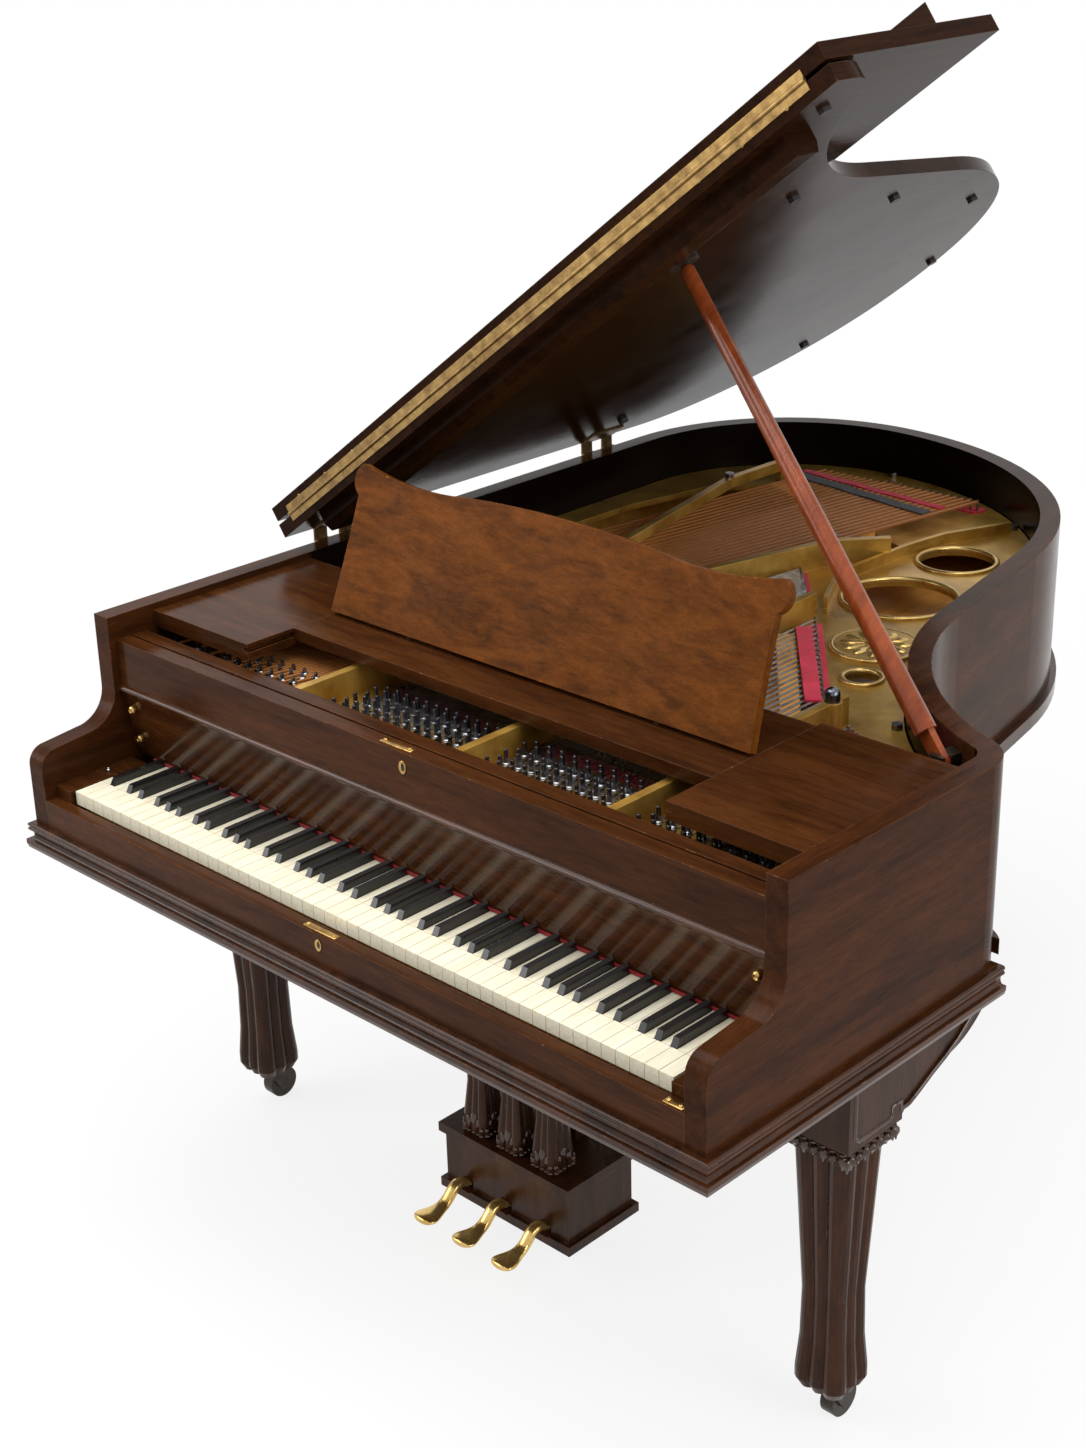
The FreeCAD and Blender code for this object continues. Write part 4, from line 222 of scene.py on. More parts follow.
# lacquered wood, with the grain along one direction of the piece
woodLooks = {
    "caseAcross": dict(stretch=(0.9, 7, 7), dark=(0.016, 0.0048, 0.0016, 1), light=(0.082, 0.0265, 0.0068, 1),
                       figure=0.5, low=0.12, high=0.28, wear=0.9, shine=0.07),
    "fallPanel": dict(stretch=(0.9, 7, 7), dark=(0.016, 0.005, 0.0018, 1), light=(0.085, 0.027, 0.0072, 1),
                      figure=0.5, low=0.07, high=0.16, wear=0.8, shine=0.33),
    "caseAlong": dict(stretch=(7, 0.9, 7), dark=(0.011, 0.0036, 0.0014, 1), light=(0.07, 0.022, 0.0065, 1),
                      figure=0.5, low=0.1, high=0.24, wear=0.9, shine=0.28),
    "carvedWood": dict(stretch=(7, 7, 0.9), dark=(0.014, 0.0045, 0.0018, 1), light=(0.07, 0.023, 0.0075, 1),
                       figure=0.4, low=0.1, high=0.22, wear=0.5, shine=0.6, rounding=0.0006),
    "rimAlong": dict(stretch=(7, 0.9, 7), dark=(0.011, 0.0036, 0.0014, 1), light=(0.07, 0.022, 0.0065, 1),
                     figure=0.5, low=0.12, high=0.26, wear=0.9, shine=0.05,
                     inside=dict(centre=(-50, 1000, 890), start=556)),
    "caseUpright": dict(stretch=(7, 7, 0.9), dark=(0.011, 0.0038, 0.0016, 1), light=(0.066, 0.022, 0.0075, 1),
                        figure=0.4, low=0.18, high=0.38, wear=0.6, shine=0.16, rounding=0.0008),
    "lidAlong": dict(stretch=(7, 0.9, 7), dark=(0.006, 0.0023, 0.001, 1), light=(0.034, 0.0115, 0.0038, 1),
                     figure=0.4, low=0.1, high=0.2, wear=0.8, shine=0.025),
    "deskAcross": dict(stretch=(5, 15, 15), dark=(0.042, 0.0125, 0.0018, 1), light=(0.165, 0.049, 0.0075, 1),
                       figure=0.6, low=0.24, high=0.42, wear=0.5, shine=0.03),
    "propLong": dict(stretch=(6, 1.5, 1.5), dark=(0.12, 0.021, 0.005, 1), light=(0.36, 0.078, 0.02, 1),
                     figure=0.4, low=0.1, high=0.2, wear=0.3, shine=0.35),
    "innerDark": dict(stretch=(6, 1, 6), dark=(0.003, 0.0018, 0.0012, 1), light=(0.014, 0.0065, 0.004, 1),
                      figure=0.3, low=0.2, high=0.4, wear=0.5, shine=0.25),
    "damperBlack": dict(stretch=(4, 4, 4), dark=(0.003, 0.003, 0.003, 1), light=(0.012, 0.011, 0.01, 1),
                        figure=0.2, low=0.25, high=0.45, wear=0.3, shine=0.4),
    "spruce": dict(stretch=(14, 1.0, 14), dark=(0.5, 0.2, 0.035, 1), light=(0.84, 0.44, 0.115, 1),
                   figure=0.35, low=0.25, high=0.4, wear=0.2, shine=0.4),
}


woodWear = dict(bare=(2.2, 2.6, 3.4), chipped=(1.7, 1.9, 2.3), dulled=0.25, pores=0.08, poreDepth=0.0006,
                insideTone=(0.004, 0.0022, 0.0014, 1))


# faces that look into the case, behind a depth, which take a near-black tone
def insideMask(tree, place, centre, start, fade=0.01, turn=0.06):
    shape = tree.nodes.new("ShaderNodeNewGeometry")
    inward = vectorNode(tree, "SUBTRACT", "Vector", at(*centre), place)
    facing = vectorNode(tree, "DOT_PRODUCT", "Value", shape.outputs["Normal"], inward)
    parts = tree.nodes.new("ShaderNodeSeparateXYZ")
    tree.links.new(place, parts.inputs[0])
    behind = at(0, start, 0).y
    deep = rangeNode(tree, parts.outputs["Y"], behind, behind + fade)
    return mathNode(tree, "MULTIPLY", rangeNode(tree, facing, 0.0, turn), deep)


def lifted(colour, gains):
    return tuple(min(part * gain, 1.0) for part, gain in zip(colour, gains)) + (1,)


def buildWood(name, stretch, dark, light, figure, low, high, wear, shine, inside=None, rounding=0.0016):
    material, tree, shader, place = startMaterial(name, specular=shine)
    grain = useGroup(tree, grainGroup, Vector=stretched(tree, place, stretch), Dark=dark, Light=light,
                     Figure=figure)
    worn = useGroup(tree, wearGroup, Vector=place, Amount=wear)
    gloss = useGroup(tree, smudgeGroup, Vector=place, Low=low, High=high)
    bare = lifted(light, woodWear["bare"])
    rubbed = mixColour(tree, worn.outputs["Mask"], grain.outputs["Color"], bare)
    colour = mixColour(tree, worn.outputs["Chips"], rubbed, lifted(bare, woodWear["chipped"]))
    if inside:
        # the rim's faces that look into the case, behind a depth, are darkened to a near-black tone
        colour = mixColour(tree, insideMask(tree, place, **inside), colour, woodWear["insideTone"])
    tree.links.new(colour, shader.inputs["Base Color"])
    dulled = mathNode(tree, "MULTIPLY", worn.outputs["Mask"], woodWear["dulled"])
    tree.links.new(mathNode(tree, "ADD", gloss.outputs["Rough"], dulled), shader.inputs["Roughness"])
    relief = bumpNode(tree, grain.outputs["Height"], woodWear["pores"], woodWear["poreDepth"], rounding)
    tree.links.new(relief, shader.inputs["Normal"])
    return material


woods = {name: buildWood(name, **look) for name, look in woodLooks.items()}


# metals
metalLooks = {
    "plateBronze": dict(dark=(0.3, 0.15, 0.02, 1), light=(0.62, 0.38, 0.08, 1), low=0.26, high=0.4,
                        metallic=0.6, cast=0.22, scale=14),
    # a brighter, glossier copy of the plate's gold for the hole rings and the boss rosette: gold paint, and
    # partly a painted highlight on the beads
    "litPlateGold": dict(dark=(0.42, 0.25, 0.06, 1), light=(0.78, 0.55, 0.2, 1), low=0.2, high=0.34,
                      metallic=0.75, cast=0.12, scale=24),
    "agedBrass": dict(dark=(0.3, 0.17, 0.05, 1), light=(0.66, 0.43, 0.15, 1), low=0.16, high=0.36,
                      metallic=1.0, cast=0.04, scale=40),
    # a brighter copy of the aged brass for the pedals: polished brass, and partly a painted highlight that
    # makes up for the dark keybed they reflect
    "litPedalBrass": dict(dark=(0.5, 0.31, 0.09, 1), light=(0.86, 0.62, 0.23, 1), low=0.12, high=0.26,
                       metallic=0.85, cast=0.03, scale=30),
    "darkBrass": dict(dark=(0.05, 0.028, 0.01, 1), light=(0.2, 0.12, 0.04, 1), low=0.3, high=0.5,
                      metallic=0.8, cast=0.06, scale=60),
    "brassLeaf": dict(dark=(0.16, 0.09, 0.03, 1), light=(0.42, 0.27, 0.095, 1), low=0.3, high=0.5,
                      metallic=0.85, cast=0.06, scale=60),
    "drawnSteel": dict(dark=(0.2, 0.2, 0.2, 1), light=(0.5, 0.5, 0.5, 1), low=0.2, high=0.38,
                       metallic=1.0, cast=0.03, scale=60),
    "bluedSteel": dict(dark=(0.05, 0.054, 0.07, 1), light=(0.2, 0.21, 0.25, 1), low=0.2, high=0.36,
                       metallic=1.0, cast=0.03, scale=90),
    "darkIron": dict(dark=(0.012, 0.009, 0.007, 1), light=(0.05, 0.035, 0.022, 1), low=0.32, high=0.5,
                     metallic=0.6, cast=0.25, scale=60),
}


metalWear = dict(amount=0.6, bright=1.45, castDepth=0.0008, rounding=0.0012)


def buildMetal(name, dark, light, low, high, metallic, cast, scale):
    material, tree, shader, place = startMaterial(name, metallic=metallic)
    tone = rangeNode(tree, noiseNode(tree, place, scale, 5.0, 0.6), 0.3, 0.7)
    worn = useGroup(tree, wearGroup, Vector=place, Amount=metalWear["amount"])
    gloss = useGroup(tree, smudgeGroup, Vector=place, Low=low, High=high)
    colour = mixColour(tree, tone, dark, light)
    bright = lifted(light, (metalWear["bright"],) * 3)
    tree.links.new(mixColour(tree, worn.outputs["Mask"], colour, bright), shader.inputs["Base Color"])
    tree.links.new(gloss.outputs["Rough"], shader.inputs["Roughness"])
    relief = bumpNode(tree, gloss.outputs["Height"], cast, metalWear["castDepth"], metalWear["rounding"])
    tree.links.new(relief, shader.inputs["Normal"])
    return material


metals = {name: buildMetal(name, **look) for name, look in metalLooks.items()}


# copper winding: fine turns across the string, with painted shade in the grooves between the turns
windingLook = dict(pitch=1300.0, grooveShade=(0.3, 0.1, 0.024, 1), crown=(0.86, 0.36, 0.1, 1),
                   tarnish=(0.24, 0.12, 0.05, 1), tarnishShare=0.35, depth=0.0005)


def buildWinding(pitch, grooveShade, crown, tarnish, tarnishShare, depth):
    material, tree, shader, place = startMaterial("copperWinding", metallic=0.5)
    wave = tree.nodes.new("ShaderNodeTexWave")
    wave.bands_direction = "Y"
    wave.inputs["Scale"].default_value = pitch / 6.283  # the wave node counts in radians
    tree.links.new(place, wave.inputs["Vector"])
    patina = rangeNode(tree, noiseNode(tree, place, 9.0, 4.0, 0.6), 0.3, 0.7)
    # painted shade: the grooves between the turns are darker than the copper of the crowns
    base = mixColour(tree, wave.outputs["Fac"], grooveShade, crown)
    dull = mathNode(tree, "MULTIPLY", patina, tarnishShare)
    tree.links.new(mixColour(tree, dull, base, tarnish), shader.inputs["Base Color"])
    tree.links.new(rangeNode(tree, patina, 0.0, 1.0, 0.26, 0.42), shader.inputs["Roughness"])
    tree.links.new(bumpNode(tree, wave.outputs["Fac"], 0.5, depth), shader.inputs["Normal"])
    return material


copperWinding = buildWinding(**windingLook)


# felt and cloth: matted fibres
feltLooks = {
    "crimsonFelt": dict(dark=(0.4, 0.01, 0.03, 1), light=(0.84, 0.045, 0.095, 1)),
    "greyFelt": dict(dark=(0.012, 0.012, 0.013, 1), light=(0.11, 0.11, 0.115, 1)),
    "nameFelt": dict(dark=(0.19, 0.006, 0.008, 1), light=(0.42, 0.02, 0.022, 1)),
}


def buildFelt(name, dark, light):
    material, tree, shader, place = startMaterial(name, specular=0.15, sheen=0.15)
    fibres = rangeNode(tree, noiseNode(tree, place, 900.0, 3.0, 0.7, 0.5), 0.3, 0.7)
    worn = rangeNode(tree, noiseNode(tree, place, 26.0, 4.0, 0.6), 0.3, 0.7)
    share = mathNode(tree, "MULTIPLY", mathNode(tree, "ADD", fibres, worn), 0.5)
    tree.links.new(mixColour(tree, share, dark, light), shader.inputs["Base Color"])
    tree.links.new(rangeNode(tree, fibres, 0.0, 1.0, 0.82, 0.96), shader.inputs["Roughness"])
    tree.links.new(bumpNode(tree, fibres, 0.6, 0.0008), shader.inputs["Normal"])
    return material


felts = {name: buildFelt(name, **look) for name, look in feltLooks.items()}


# key coverings and bumpers
coverLooks = {
    "ivoryTops": dict(dark=(0.74, 0.66, 0.47, 1), light=(0.88, 0.84, 0.68, 1), low=0.14, high=0.28,
                      scale=(60, 5, 60), bump=0.03, seam=dict(back=50.2, half=0.0005, core=0.0002,
                                                              tone=(0.5, 0.36, 0.16, 1))),
    "ebonySharps": dict(dark=(0.004, 0.004, 0.0045, 1), light=(0.016, 0.015, 0.015, 1), low=0.16, high=0.34,
                        scale=(160, 12, 160), bump=0.05),
    "bumperRubber": dict(dark=(0.006, 0.005, 0.005, 1), light=(0.03, 0.025, 0.022, 1), low=0.5, high=0.75,
                         scale=(120, 120, 120), bump=0.3),
}


def buildCover(name, dark, light, low, high, scale, bump, seam=None):
    material, tree, shader, place = startMaterial(name, coat=0.1)
    streaks = noiseNode(tree, stretched(tree, place, scale), 3.0, 5.0, 0.6, 0.4)
    lines = rangeNode(tree, streaks, 0.28, 0.72)
    colour = mixColour(tree, lines, dark, light)
    if seam:  # the joint between a key's head and its tail
        parts = tree.nodes.new("ShaderNodeSeparateXYZ")
        tree.links.new(place, parts.inputs[0])
        past = mathNode(tree, "SUBTRACT", parts.outputs["Y"], keysLow.y + seam["back"] / 1000)
        off = mathNode(tree, "ABSOLUTE", past)
        colour = mixColour(tree, rangeNode(tree, off, seam["half"], seam["core"]), colour, seam["tone"])
    tree.links.new(colour, shader.inputs["Base Color"])
    gloss = useGroup(tree, smudgeGroup, Vector=place, Low=low, High=high)
    tree.links.new(gloss.outputs["Rough"], shader.inputs["Roughness"])
    tree.links.new(bumpNode(tree, lines, bump, 0.0004), shader.inputs["Normal"])
    return material


covers = {name: buildCover(name, **look) for name, look in coverLooks.items()}
print("stage: materials built")

finishes = {
    "caseAcross": ("keybed", "key_slip", "key_blocks", "stretcher", "music_tray", "side_shelves",
                   "fallboard_flap"),
    "fallPanel": ("fallboard",),
    "caseAlong": ("case_mouldings",),
    "rimAlong": ("outer_rim",),
    "caseUpright": ("front_left_leg", "front_right_leg", "rear_leg", "pedal_box", "lyre_posts"),
    "lidAlong": ("lid_panel", "lid_batten", "lid_flap", "flap_rail"),
    "deskAcross": ("music_desk", "desk_struts"),
    "propLong": ("prop_stick",),
    "innerDark": ("inner_rim", "back_frame", "pinblock"),
    "damperBlack": ("dampers",),
    "spruce": ("soundboard", "soundboard_ribs", "bridges", "key_frame", "white_key_hammers",
               "black_key_hammers"),
    "plateBronze": ("plate",),
    "litPedalBrass": ("left_pedal", "middle_pedal", "right_pedal"),
    "darkBrass": ("lid_hinge_leaves", "lid_hinge_fixed_leaves"),
    "brassLeaf": ("flap_hinge_lid_leaf", "flap_hinge_leaf"),
    "drawnSteel": ("treble_strings", "hitch_pins", "left_pedal_rod", "middle_pedal_rod", "right_pedal_rod"),
    "bluedSteel": ("tuning_pins", "plate_bolts"),
    "darkIron": ("prop_bracket", "prop_cup", "front_left_caster_fork", "front_right_caster_fork",
                 "rear_caster_fork", "front_left_caster_wheel", "front_right_caster_wheel",
                 "rear_caster_wheel"),
    "copperWinding": ("bass_strings",),
    "crimsonFelt": ("felt_strips",),
    "ivoryTops": ("white_keys",),
    "ebonySharps": ("black_keys",),
    "bumperRubber": ("lid_bumpers",),
}
everyLook = {**woods, **metals, **felts, **covers, "copperWinding": copperWinding}
for look, names in finishes.items():
    for name in names:
        for holder in nodes[name].material_slots:
            holder.material = everyLook[look]
print("stage: finishes on the frame")


# modelling helpers: one shape is selected at a time

def newShape(kind, centre=(0, 0, 0), reach=(1, 1, 1), turn=(0, 0, 0), **values):
    bpy.ops.object.select_all(action="DESELECT")
    getattr(bpy.ops.mesh, "primitive_" + kind + "_add")(**values)
    piece = bpy.context.object
    piece.scale = reach
    piece.rotation_euler = turn
    piece.location = centre
    bpy.ops.object.transform_apply(location=True, rotation=True, scale=True)
    return piece


def pick(piece, test, kind="FACE"):  # leaves the piece in edit mode with those parts selected
    bpy.ops.object.mode_set(mode="EDIT")
    bpy.ops.mesh.select_mode(type=kind)
    bpy.ops.mesh.select_all(action="DESELECT")
    bpy.ops.object.mode_set(mode="OBJECT")
    parts = {"FACE": piece.data.polygons, "EDGE": piece.data.edges, "VERT": piece.data.vertices}[kind]
    for part in parts:
        part.select = test(part)
    bpy.ops.object.mode_set(mode="EDIT")


def soften(piece, width, steps=2, angle=0.6):
    bevel = piece.modifiers.new("softEdges", "BEVEL")
    bevel.width = width / 1000
    bevel.segments = steps
    bevel.limit_method = "ANGLE"
    bevel.angle_limit = angle
    bpy.context.view_layer.objects.active = piece
    bpy.ops.object.modifier_apply(modifier=bevel.name)


def copyOf(pattern, matrix):
    twin = pattern.copy()
    twin.data = pattern.data.copy()
    bpy.context.collection.objects.link(twin)
    twin.data.transform(matrix)
    return twin


def choose(*pieces):  # selects these alone, with the first one active
    bpy.ops.object.select_all(action="DESELECT")
    for piece in pieces:
        piece.select_set(True)
    bpy.context.view_layer.objects.active = pieces[0]


def joined(pieces, name):
    choose(*pieces)
    if len(pieces) > 1:
        bpy.ops.object.join()
    pieces[0].name = name
    return pieces[0]


def dress(piece, look, body, angle=0.7):
    choose(piece)
    piece.data.materials.clear()
    piece.data.materials.append(everyLook[look])
    bpy.ops.object.shade_smooth_by_angle(angle=angle)
    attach(piece, body)


def placeOn(spot, normal, along):  # a matrix that lays a flat pattern on a face
    up = Vector(normal).normalized()
    right = (Vector(along) - up * Vector(along).dot(up)).normalized()
    return Matrix.Translation(spot) @ Matrix((right, up.cross(right), up)).transposed().to_4x4()


# strip of red cloth in front of the fallboard's foot
nameStrip = dict(half=610, near=177.6, far=181.4, low=720.6, high=723.4, border=0.8, swell=0.4, soft=0.7)


def buildNameStrip(half, near, far, low, high, border, swell, soft):
    strip = newShape("cube", at(0, (near + far) / 2, (low + high) / 2),
                     (half / 500, (far - near) / 1000, (high - low) / 1000), size=1)
    pick(strip, lambda face: face.normal.y < -0.9)
    bpy.ops.mesh.inset(thickness=border / 1000, depth=swell / 1000)
    bpy.ops.object.mode_set(mode="OBJECT")
    soften(strip, soft)
    strip.name = "nameStrip"
    dress(strip, "nameFelt", "fallboard")


buildNameStrip(**nameStrip)


# slotted screw heads
screwHead = dict(radius=3.0, height=1.5, slot=0.8)


def buildScrewHead(radius, height, slot):
    screw = newShape("cylinder", (0, 0, height / 4000), (radius / 1000, radius / 1000, height / 1000),
                     vertices=12, radius=1, depth=1.5)
    pick(screw, lambda face: face.normal.z > 0.9)
    bpy.ops.mesh.inset(thickness=radius / 5000)
    bpy.ops.transform.translate(value=(0, 0, height / 4000))
    for side in (-1, 1):
        bpy.ops.mesh.select_all(action="SELECT")
        bpy.ops.mesh.bisect(plane_co=(0, side * slot / 2000, 0), plane_no=(0, 1, 0))
    pick(screw, lambda face: face.normal.z > 0.9 and abs(face.center.y) < slot / 2000)
    bpy.ops.mesh.extrude_region_move(TRANSFORM_OT_translate={"value": (0, 0, -height / 2500)})
    bpy.ops.object.mode_set(mode="OBJECT")
    return screw


screwPattern = buildScrewHead(**screwHead)


def screwRow(name, spots, normal, body, look="agedBrass"):
    heads = []
    for index, spot in enumerate(spots):
        along = Vector((math.cos(index * 1.9), math.sin(index * 2.3), math.sin(index * 1.3)))
        heads.append(copyOf(screwPattern, placeOn(spot, normal, along + Vector((0.01, 0.02, 0.03)))))
    dress(joined(heads, name), look, body)


# keyhole plates on the fallboard's flap and the key slip
keyholes = {
    "flapKeyhole": dict(centre=(7, 160, 899), width=14, height=20, thick=1.6, body="fallboard_flap"),
    "slipKeyhole": dict(centre=(-5, 0, 683), width=13, height=18, thick=1.6, body="case"),
}
# hole is the radius of the painted shade that stands for the keyhole's opening
keyholeCut = dict(steps=((2.1, 0.5), (1.4, 0.8)), hole=2.2, soft=0.3)  # each step's border and drop


def buildKeyhole(name, centre, width, height, thick, body, steps, hole, soft):
    plate = newShape("cylinder", at(centre[0], centre[1] - thick / 2, centre[2]),
                     (width / 2000, height / 2000, thick / 1000), (math.pi / 2, 0, 0),
                     vertices=28, radius=1, depth=1)
    pick(plate, lambda face: face.normal.y < -0.9)
    for border, drop in steps:
        bpy.ops.mesh.inset(thickness=border / 1000)
        bpy.ops.transform.translate(value=(0, drop / 1000, 0))
    bpy.ops.object.mode_set(mode="OBJECT")
    soften(plate, soft)
    plate.name = name
    dress(plate, "agedBrass", body)
    # painted shade: the faces round the middle take the dark iron finish and stand for the keyhole's dark
    # opening, which is not cut
    plate.data.materials.append(everyLook["darkIron"])
    deep = at(*centre)
    for face in plate.data.polygons:
        near = face.center - deep
        if face.normal.y < -0.9 and math.hypot(near.x, near.z) < hole / 1000:
            face.material_index = 1


for name, look in keyholes.items():
    buildKeyhole(name, **look, **keyholeCut)


# flat plates let into the wood, each with two screws
letInPlates = {
    "flapLockPlate": dict(low=(-48, 168, 920.2), high=(14, 181, 921.5), body="fallboard_flap"),
    "slipStrikePlate": dict(low=(-42, 5, 699.2), high=(23, 16, 700.5), body="case"),
    "slipEndPlate": dict(low=(614, 4, 699.2), high=(645, 16, 700.5), body="case"),
}
plateCut = dict(border=0.8, rise=0.3, soft=0.3, screwInset=6)


def buildLetInPlate(name, low, high, body, border, rise, soft, screwInset):
    a, b = at(*low), at(*high)
    plate = newShape("cube", (a + b) / 2, b - a, size=1)
    pick(plate, lambda face: face.normal.z > 0.9)
    bpy.ops.mesh.inset(thickness=border / 1000)
    bpy.ops.transform.translate(value=(0, 0, rise / 1000))
    bpy.ops.object.mode_set(mode="OBJECT")
    soften(plate, soft)
    plate.name = name
    dress(plate, "agedBrass", body)
    middle = (a.y + b.y) / 2
    spots = [Vector((x, middle, b.z)) for x in (a.x + screwInset / 1000, b.x - screwInset / 1000)]
    screwRow(name + "Screws", spots, (0, 0, 1), body)


for name, look in letInPlates.items():
    buildLetInPlate(name, **look, **plateCut)


# brass end fittings on the fallboard, and buttons on the key blocks
endFittings = dict(ends=((-630, 809), (-630, 756), (630, 809), (630, 756)), radius=7, height=7, soft=0.7,
                   panelFoot=(178, 744), lean=0.173,
                   buttons=((-634, 108, 719), (634, 108, 719)), buttonScale=(0.6, 0.6, 0.5))


def buildEndFittings(ends, radius, height, soft, panelFoot, lean, buttons, buttonScale):
    knob = newShape("cylinder", (0, 0, height / 2000), (radius / 1000, radius / 1000, height / 1000),
                    vertices=20, radius=1, depth=1)
    pick(knob, lambda face: face.normal.z > 0.9)
    bpy.ops.mesh.inset(thickness=radius / 2600)
    bpy.ops.transform.translate(value=(0, 0, height / 2200))
    bpy.ops.mesh.inset(thickness=radius / 4000)
    bpy.ops.transform.translate(value=(0, 0, -height / 3000))
    bpy.ops.object.mode_set(mode="OBJECT")
    soften(knob, soft)
    footDepth, footHeight = panelFoot
    spots = [at(x, footDepth - lean * (z - footHeight), z) for x, z in ends]
    facing = Vector((0, -1, -lean))
    fittings = [copyOf(knob, placeOn(spot, facing, (1, 0, 0))) for spot in spots]
    dress(joined(fittings, "fallboardEndFittings"), "agedBrass", "fallboard")
    smaller = Matrix.Diagonal((*buttonScale, 1))
    studs = [copyOf(knob, Matrix.Translation(at(*spot)) @ smaller) for spot in buttons]
    dress(joined(studs, "blockButtons"), "drawnSteel", "case")
    bpy.data.objects.remove(knob)


buildEndFittings(**endFittings)


# screws along the long hinge between the lid and its flap: sunk, because the two leaves fold together
hingeScrews = {"flap_hinge_lid_leaf": dict(count=15, body="lid", sink=1.7),
               "flap_hinge_leaf": dict(count=15, body="flap", sink=1.7)}


def widestFace(mesh, toward):  # the corners of the flat face that looks that way
    groups = {}
    for face in mesh.polygons:
        if face.normal.dot(toward) < 0.25:
            continue
        key = tuple(round(c, 2) for c in face.normal) + (round(face.normal.dot(face.center), 3),)
        area, corners = groups.get(key, (0.0, []))
        groups[key] = (area + face.area, corners + [mesh.vertices[v].co.copy() for v in face.vertices])
    widest = max(groups, key=lambda key: groups[key][0])
    return Vector(widest[:3]).normalized(), groups[widest][1]


def buildHingeScrews(node, count, body, sink):
    facing, corners = widestFace(nodes[node].data, Vector((0.4, -1, 0.5)))
    low = min(corners, key=lambda corner: corner.x)
    high = max(corners, key=lambda corner: corner.x)
    run = high - low
    across = facing.cross(run).normalized()
    offsets = [(corner - low).dot(across) for corner in corners]
    start = low + across * ((min(offsets) + max(offsets)) / 2) - facing * sink / 1000
    spots = [start + run * ((index + 0.5) / count) for index in range(count)]
    screwRow(node + "Screws", spots, facing, body, "brassLeaf")


for name, look in hingeScrews.items():
    buildHingeScrews(name, **look)
bpy.data.objects.remove(screwPattern)


# pedals: each lever swells out of its slot, arches down and ends in a round toe
pedalShape = dict(
    # depth, height, width, thickness and lean in degrees of each section, from the heel to the toe
    sections=((464.5, 82, 20, 10.5, 0), (356, 82, 20, 10.5, 0), (338, 82, 20, 10.5, 0), (330, 85, 21, 15, -20),
              (321, 91, 22, 18, -18), (310, 92, 22, 19, 15), (300, 86, 22, 19, 45), (291, 76, 22, 18, 50),
              (280, 68, 24, 16, 30), (267, 64.5, 29, 14, 8), (254, 64, 41, 14, 0), (242, 65, 50, 14, -3),
              (232, 65.5, 44, 13, -4), (226, 65.5, 24, 10, -4)),
    hub=dict(depth=404, height=82, radius=10, length=20),
    bore=dict(depth=404, height=82, radius=5.2, length=40),
    rounding=3,
)
pedalPlaces = {"left_pedal": -86, "middle_pedal": 0, "right_pedal": 86}


def crossBar(across, depth, height, radius, length):
    return newShape("cylinder", at(across, depth, height), (radius / 1000, radius / 1000, length / 1000),
                    (0, math.pi / 2, 0), vertices=24, radius=1, depth=1)


def combine(piece, tool, operation):
    blend = piece.modifiers.new("combine", "BOOLEAN")
    blend.object = tool
    blend.operation = operation
    blend.solver = "EXACT"
    bpy.context.view_layer.objects.active = piece
    bpy.ops.object.modifier_apply(modifier=blend.name)
    bpy.data.objects.remove(tool)


def ringAt(lever, depth):  # the corners of the section that stands at that depth
    level = at(0, depth, 0).y
    return {corner.index for corner in lever.data.vertices if abs(corner.co.y - level) < 0.0005}


def buildPedal(node, across, sections, hub, bore, rounding):
    (heel, height, width, thick, lean), (waist, *rest) = sections[:2]
    lever = newShape("cube", at(across, (heel + waist) / 2, height),
                     (width / 1000, (heel - waist) / 1000, thick / 1000), size=1)
    pick(lever, lambda face: face.normal.y < -0.9)
    for last, (depth, height, width, thick, lean) in zip(sections[1:], sections[2:]):
        lastDepth, lastHeight, lastWidth, lastThick, lastLean = last
        step = (0, (depth - lastDepth) / 1000, (height - lastHeight) / 1000)
        bpy.ops.mesh.extrude_region_move(TRANSFORM_OT_translate={"value": step})
        bpy.ops.transform.resize(value=(width / lastWidth, 1, thick / lastThick),
                                 center_override=at(across, depth, height))
    bpy.ops.object.mode_set(mode="OBJECT")
    rings = [ringAt(lever, section[0]) for section in sections]  # found before any section leans
    for ring, (depth, height, width, thick, lean) in zip(rings, sections):
        pick(lever, lambda corner: corner.index in ring, "VERT")
        bpy.ops.transform.rotate(value=math.radians(-lean), orient_axis="X",
                                 center_override=at(across, depth, height))
    bpy.ops.object.mode_set(mode="OBJECT")
    smooth = lever.modifiers.new("smoothCast", "SUBSURF")
    smooth.levels = smooth.render_levels = rounding
    bpy.ops.object.modifier_apply(modifier=smooth.name)
    boss = crossBar(across, **hub)
    soften(boss, 1)
    combine(lever, boss, "UNION")
    combine(lever, crossBar(across, **bore), "DIFFERENCE")
    # the lever takes the brightened brass, partly a painted highlight
    dress(joined([lever], node + "Lever"), "litPedalBrass", node)
    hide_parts(node)


for name, place in pedalPlaces.items():
    buildPedal(name, place, **pedalShape)
print("stage: brass fittings")


# carved leaf lobes: one lobe is shaped, then set round the legs, the lyre's feet and the plate's boss
def buildLobe():
    lobe = newShape("uv_sphere", segments=8, ring_count=6, radius=1)
    pick(lobe, lambda corner: corner.co.z < -0.45, "VERT")
    bpy.ops.transform.resize(value=(0.45, 0.6, 1.25), center_override=(0, 0, -0.45))
    pick(lobe, lambda corner: corner.co.y < -0.6 and abs(corner.co.x) < 0.3, "VERT")
    bpy.ops.transform.translate(value=(0, -0.3, 0.1))
    bpy.ops.object.mode_set(mode="OBJECT")
    return lobe


lobePattern = buildLobe()


def sized(size):  # millimetres to a scale for a pattern of radius one
    return Matrix.Diagonal((*(part / 1000 for part in size), 1))


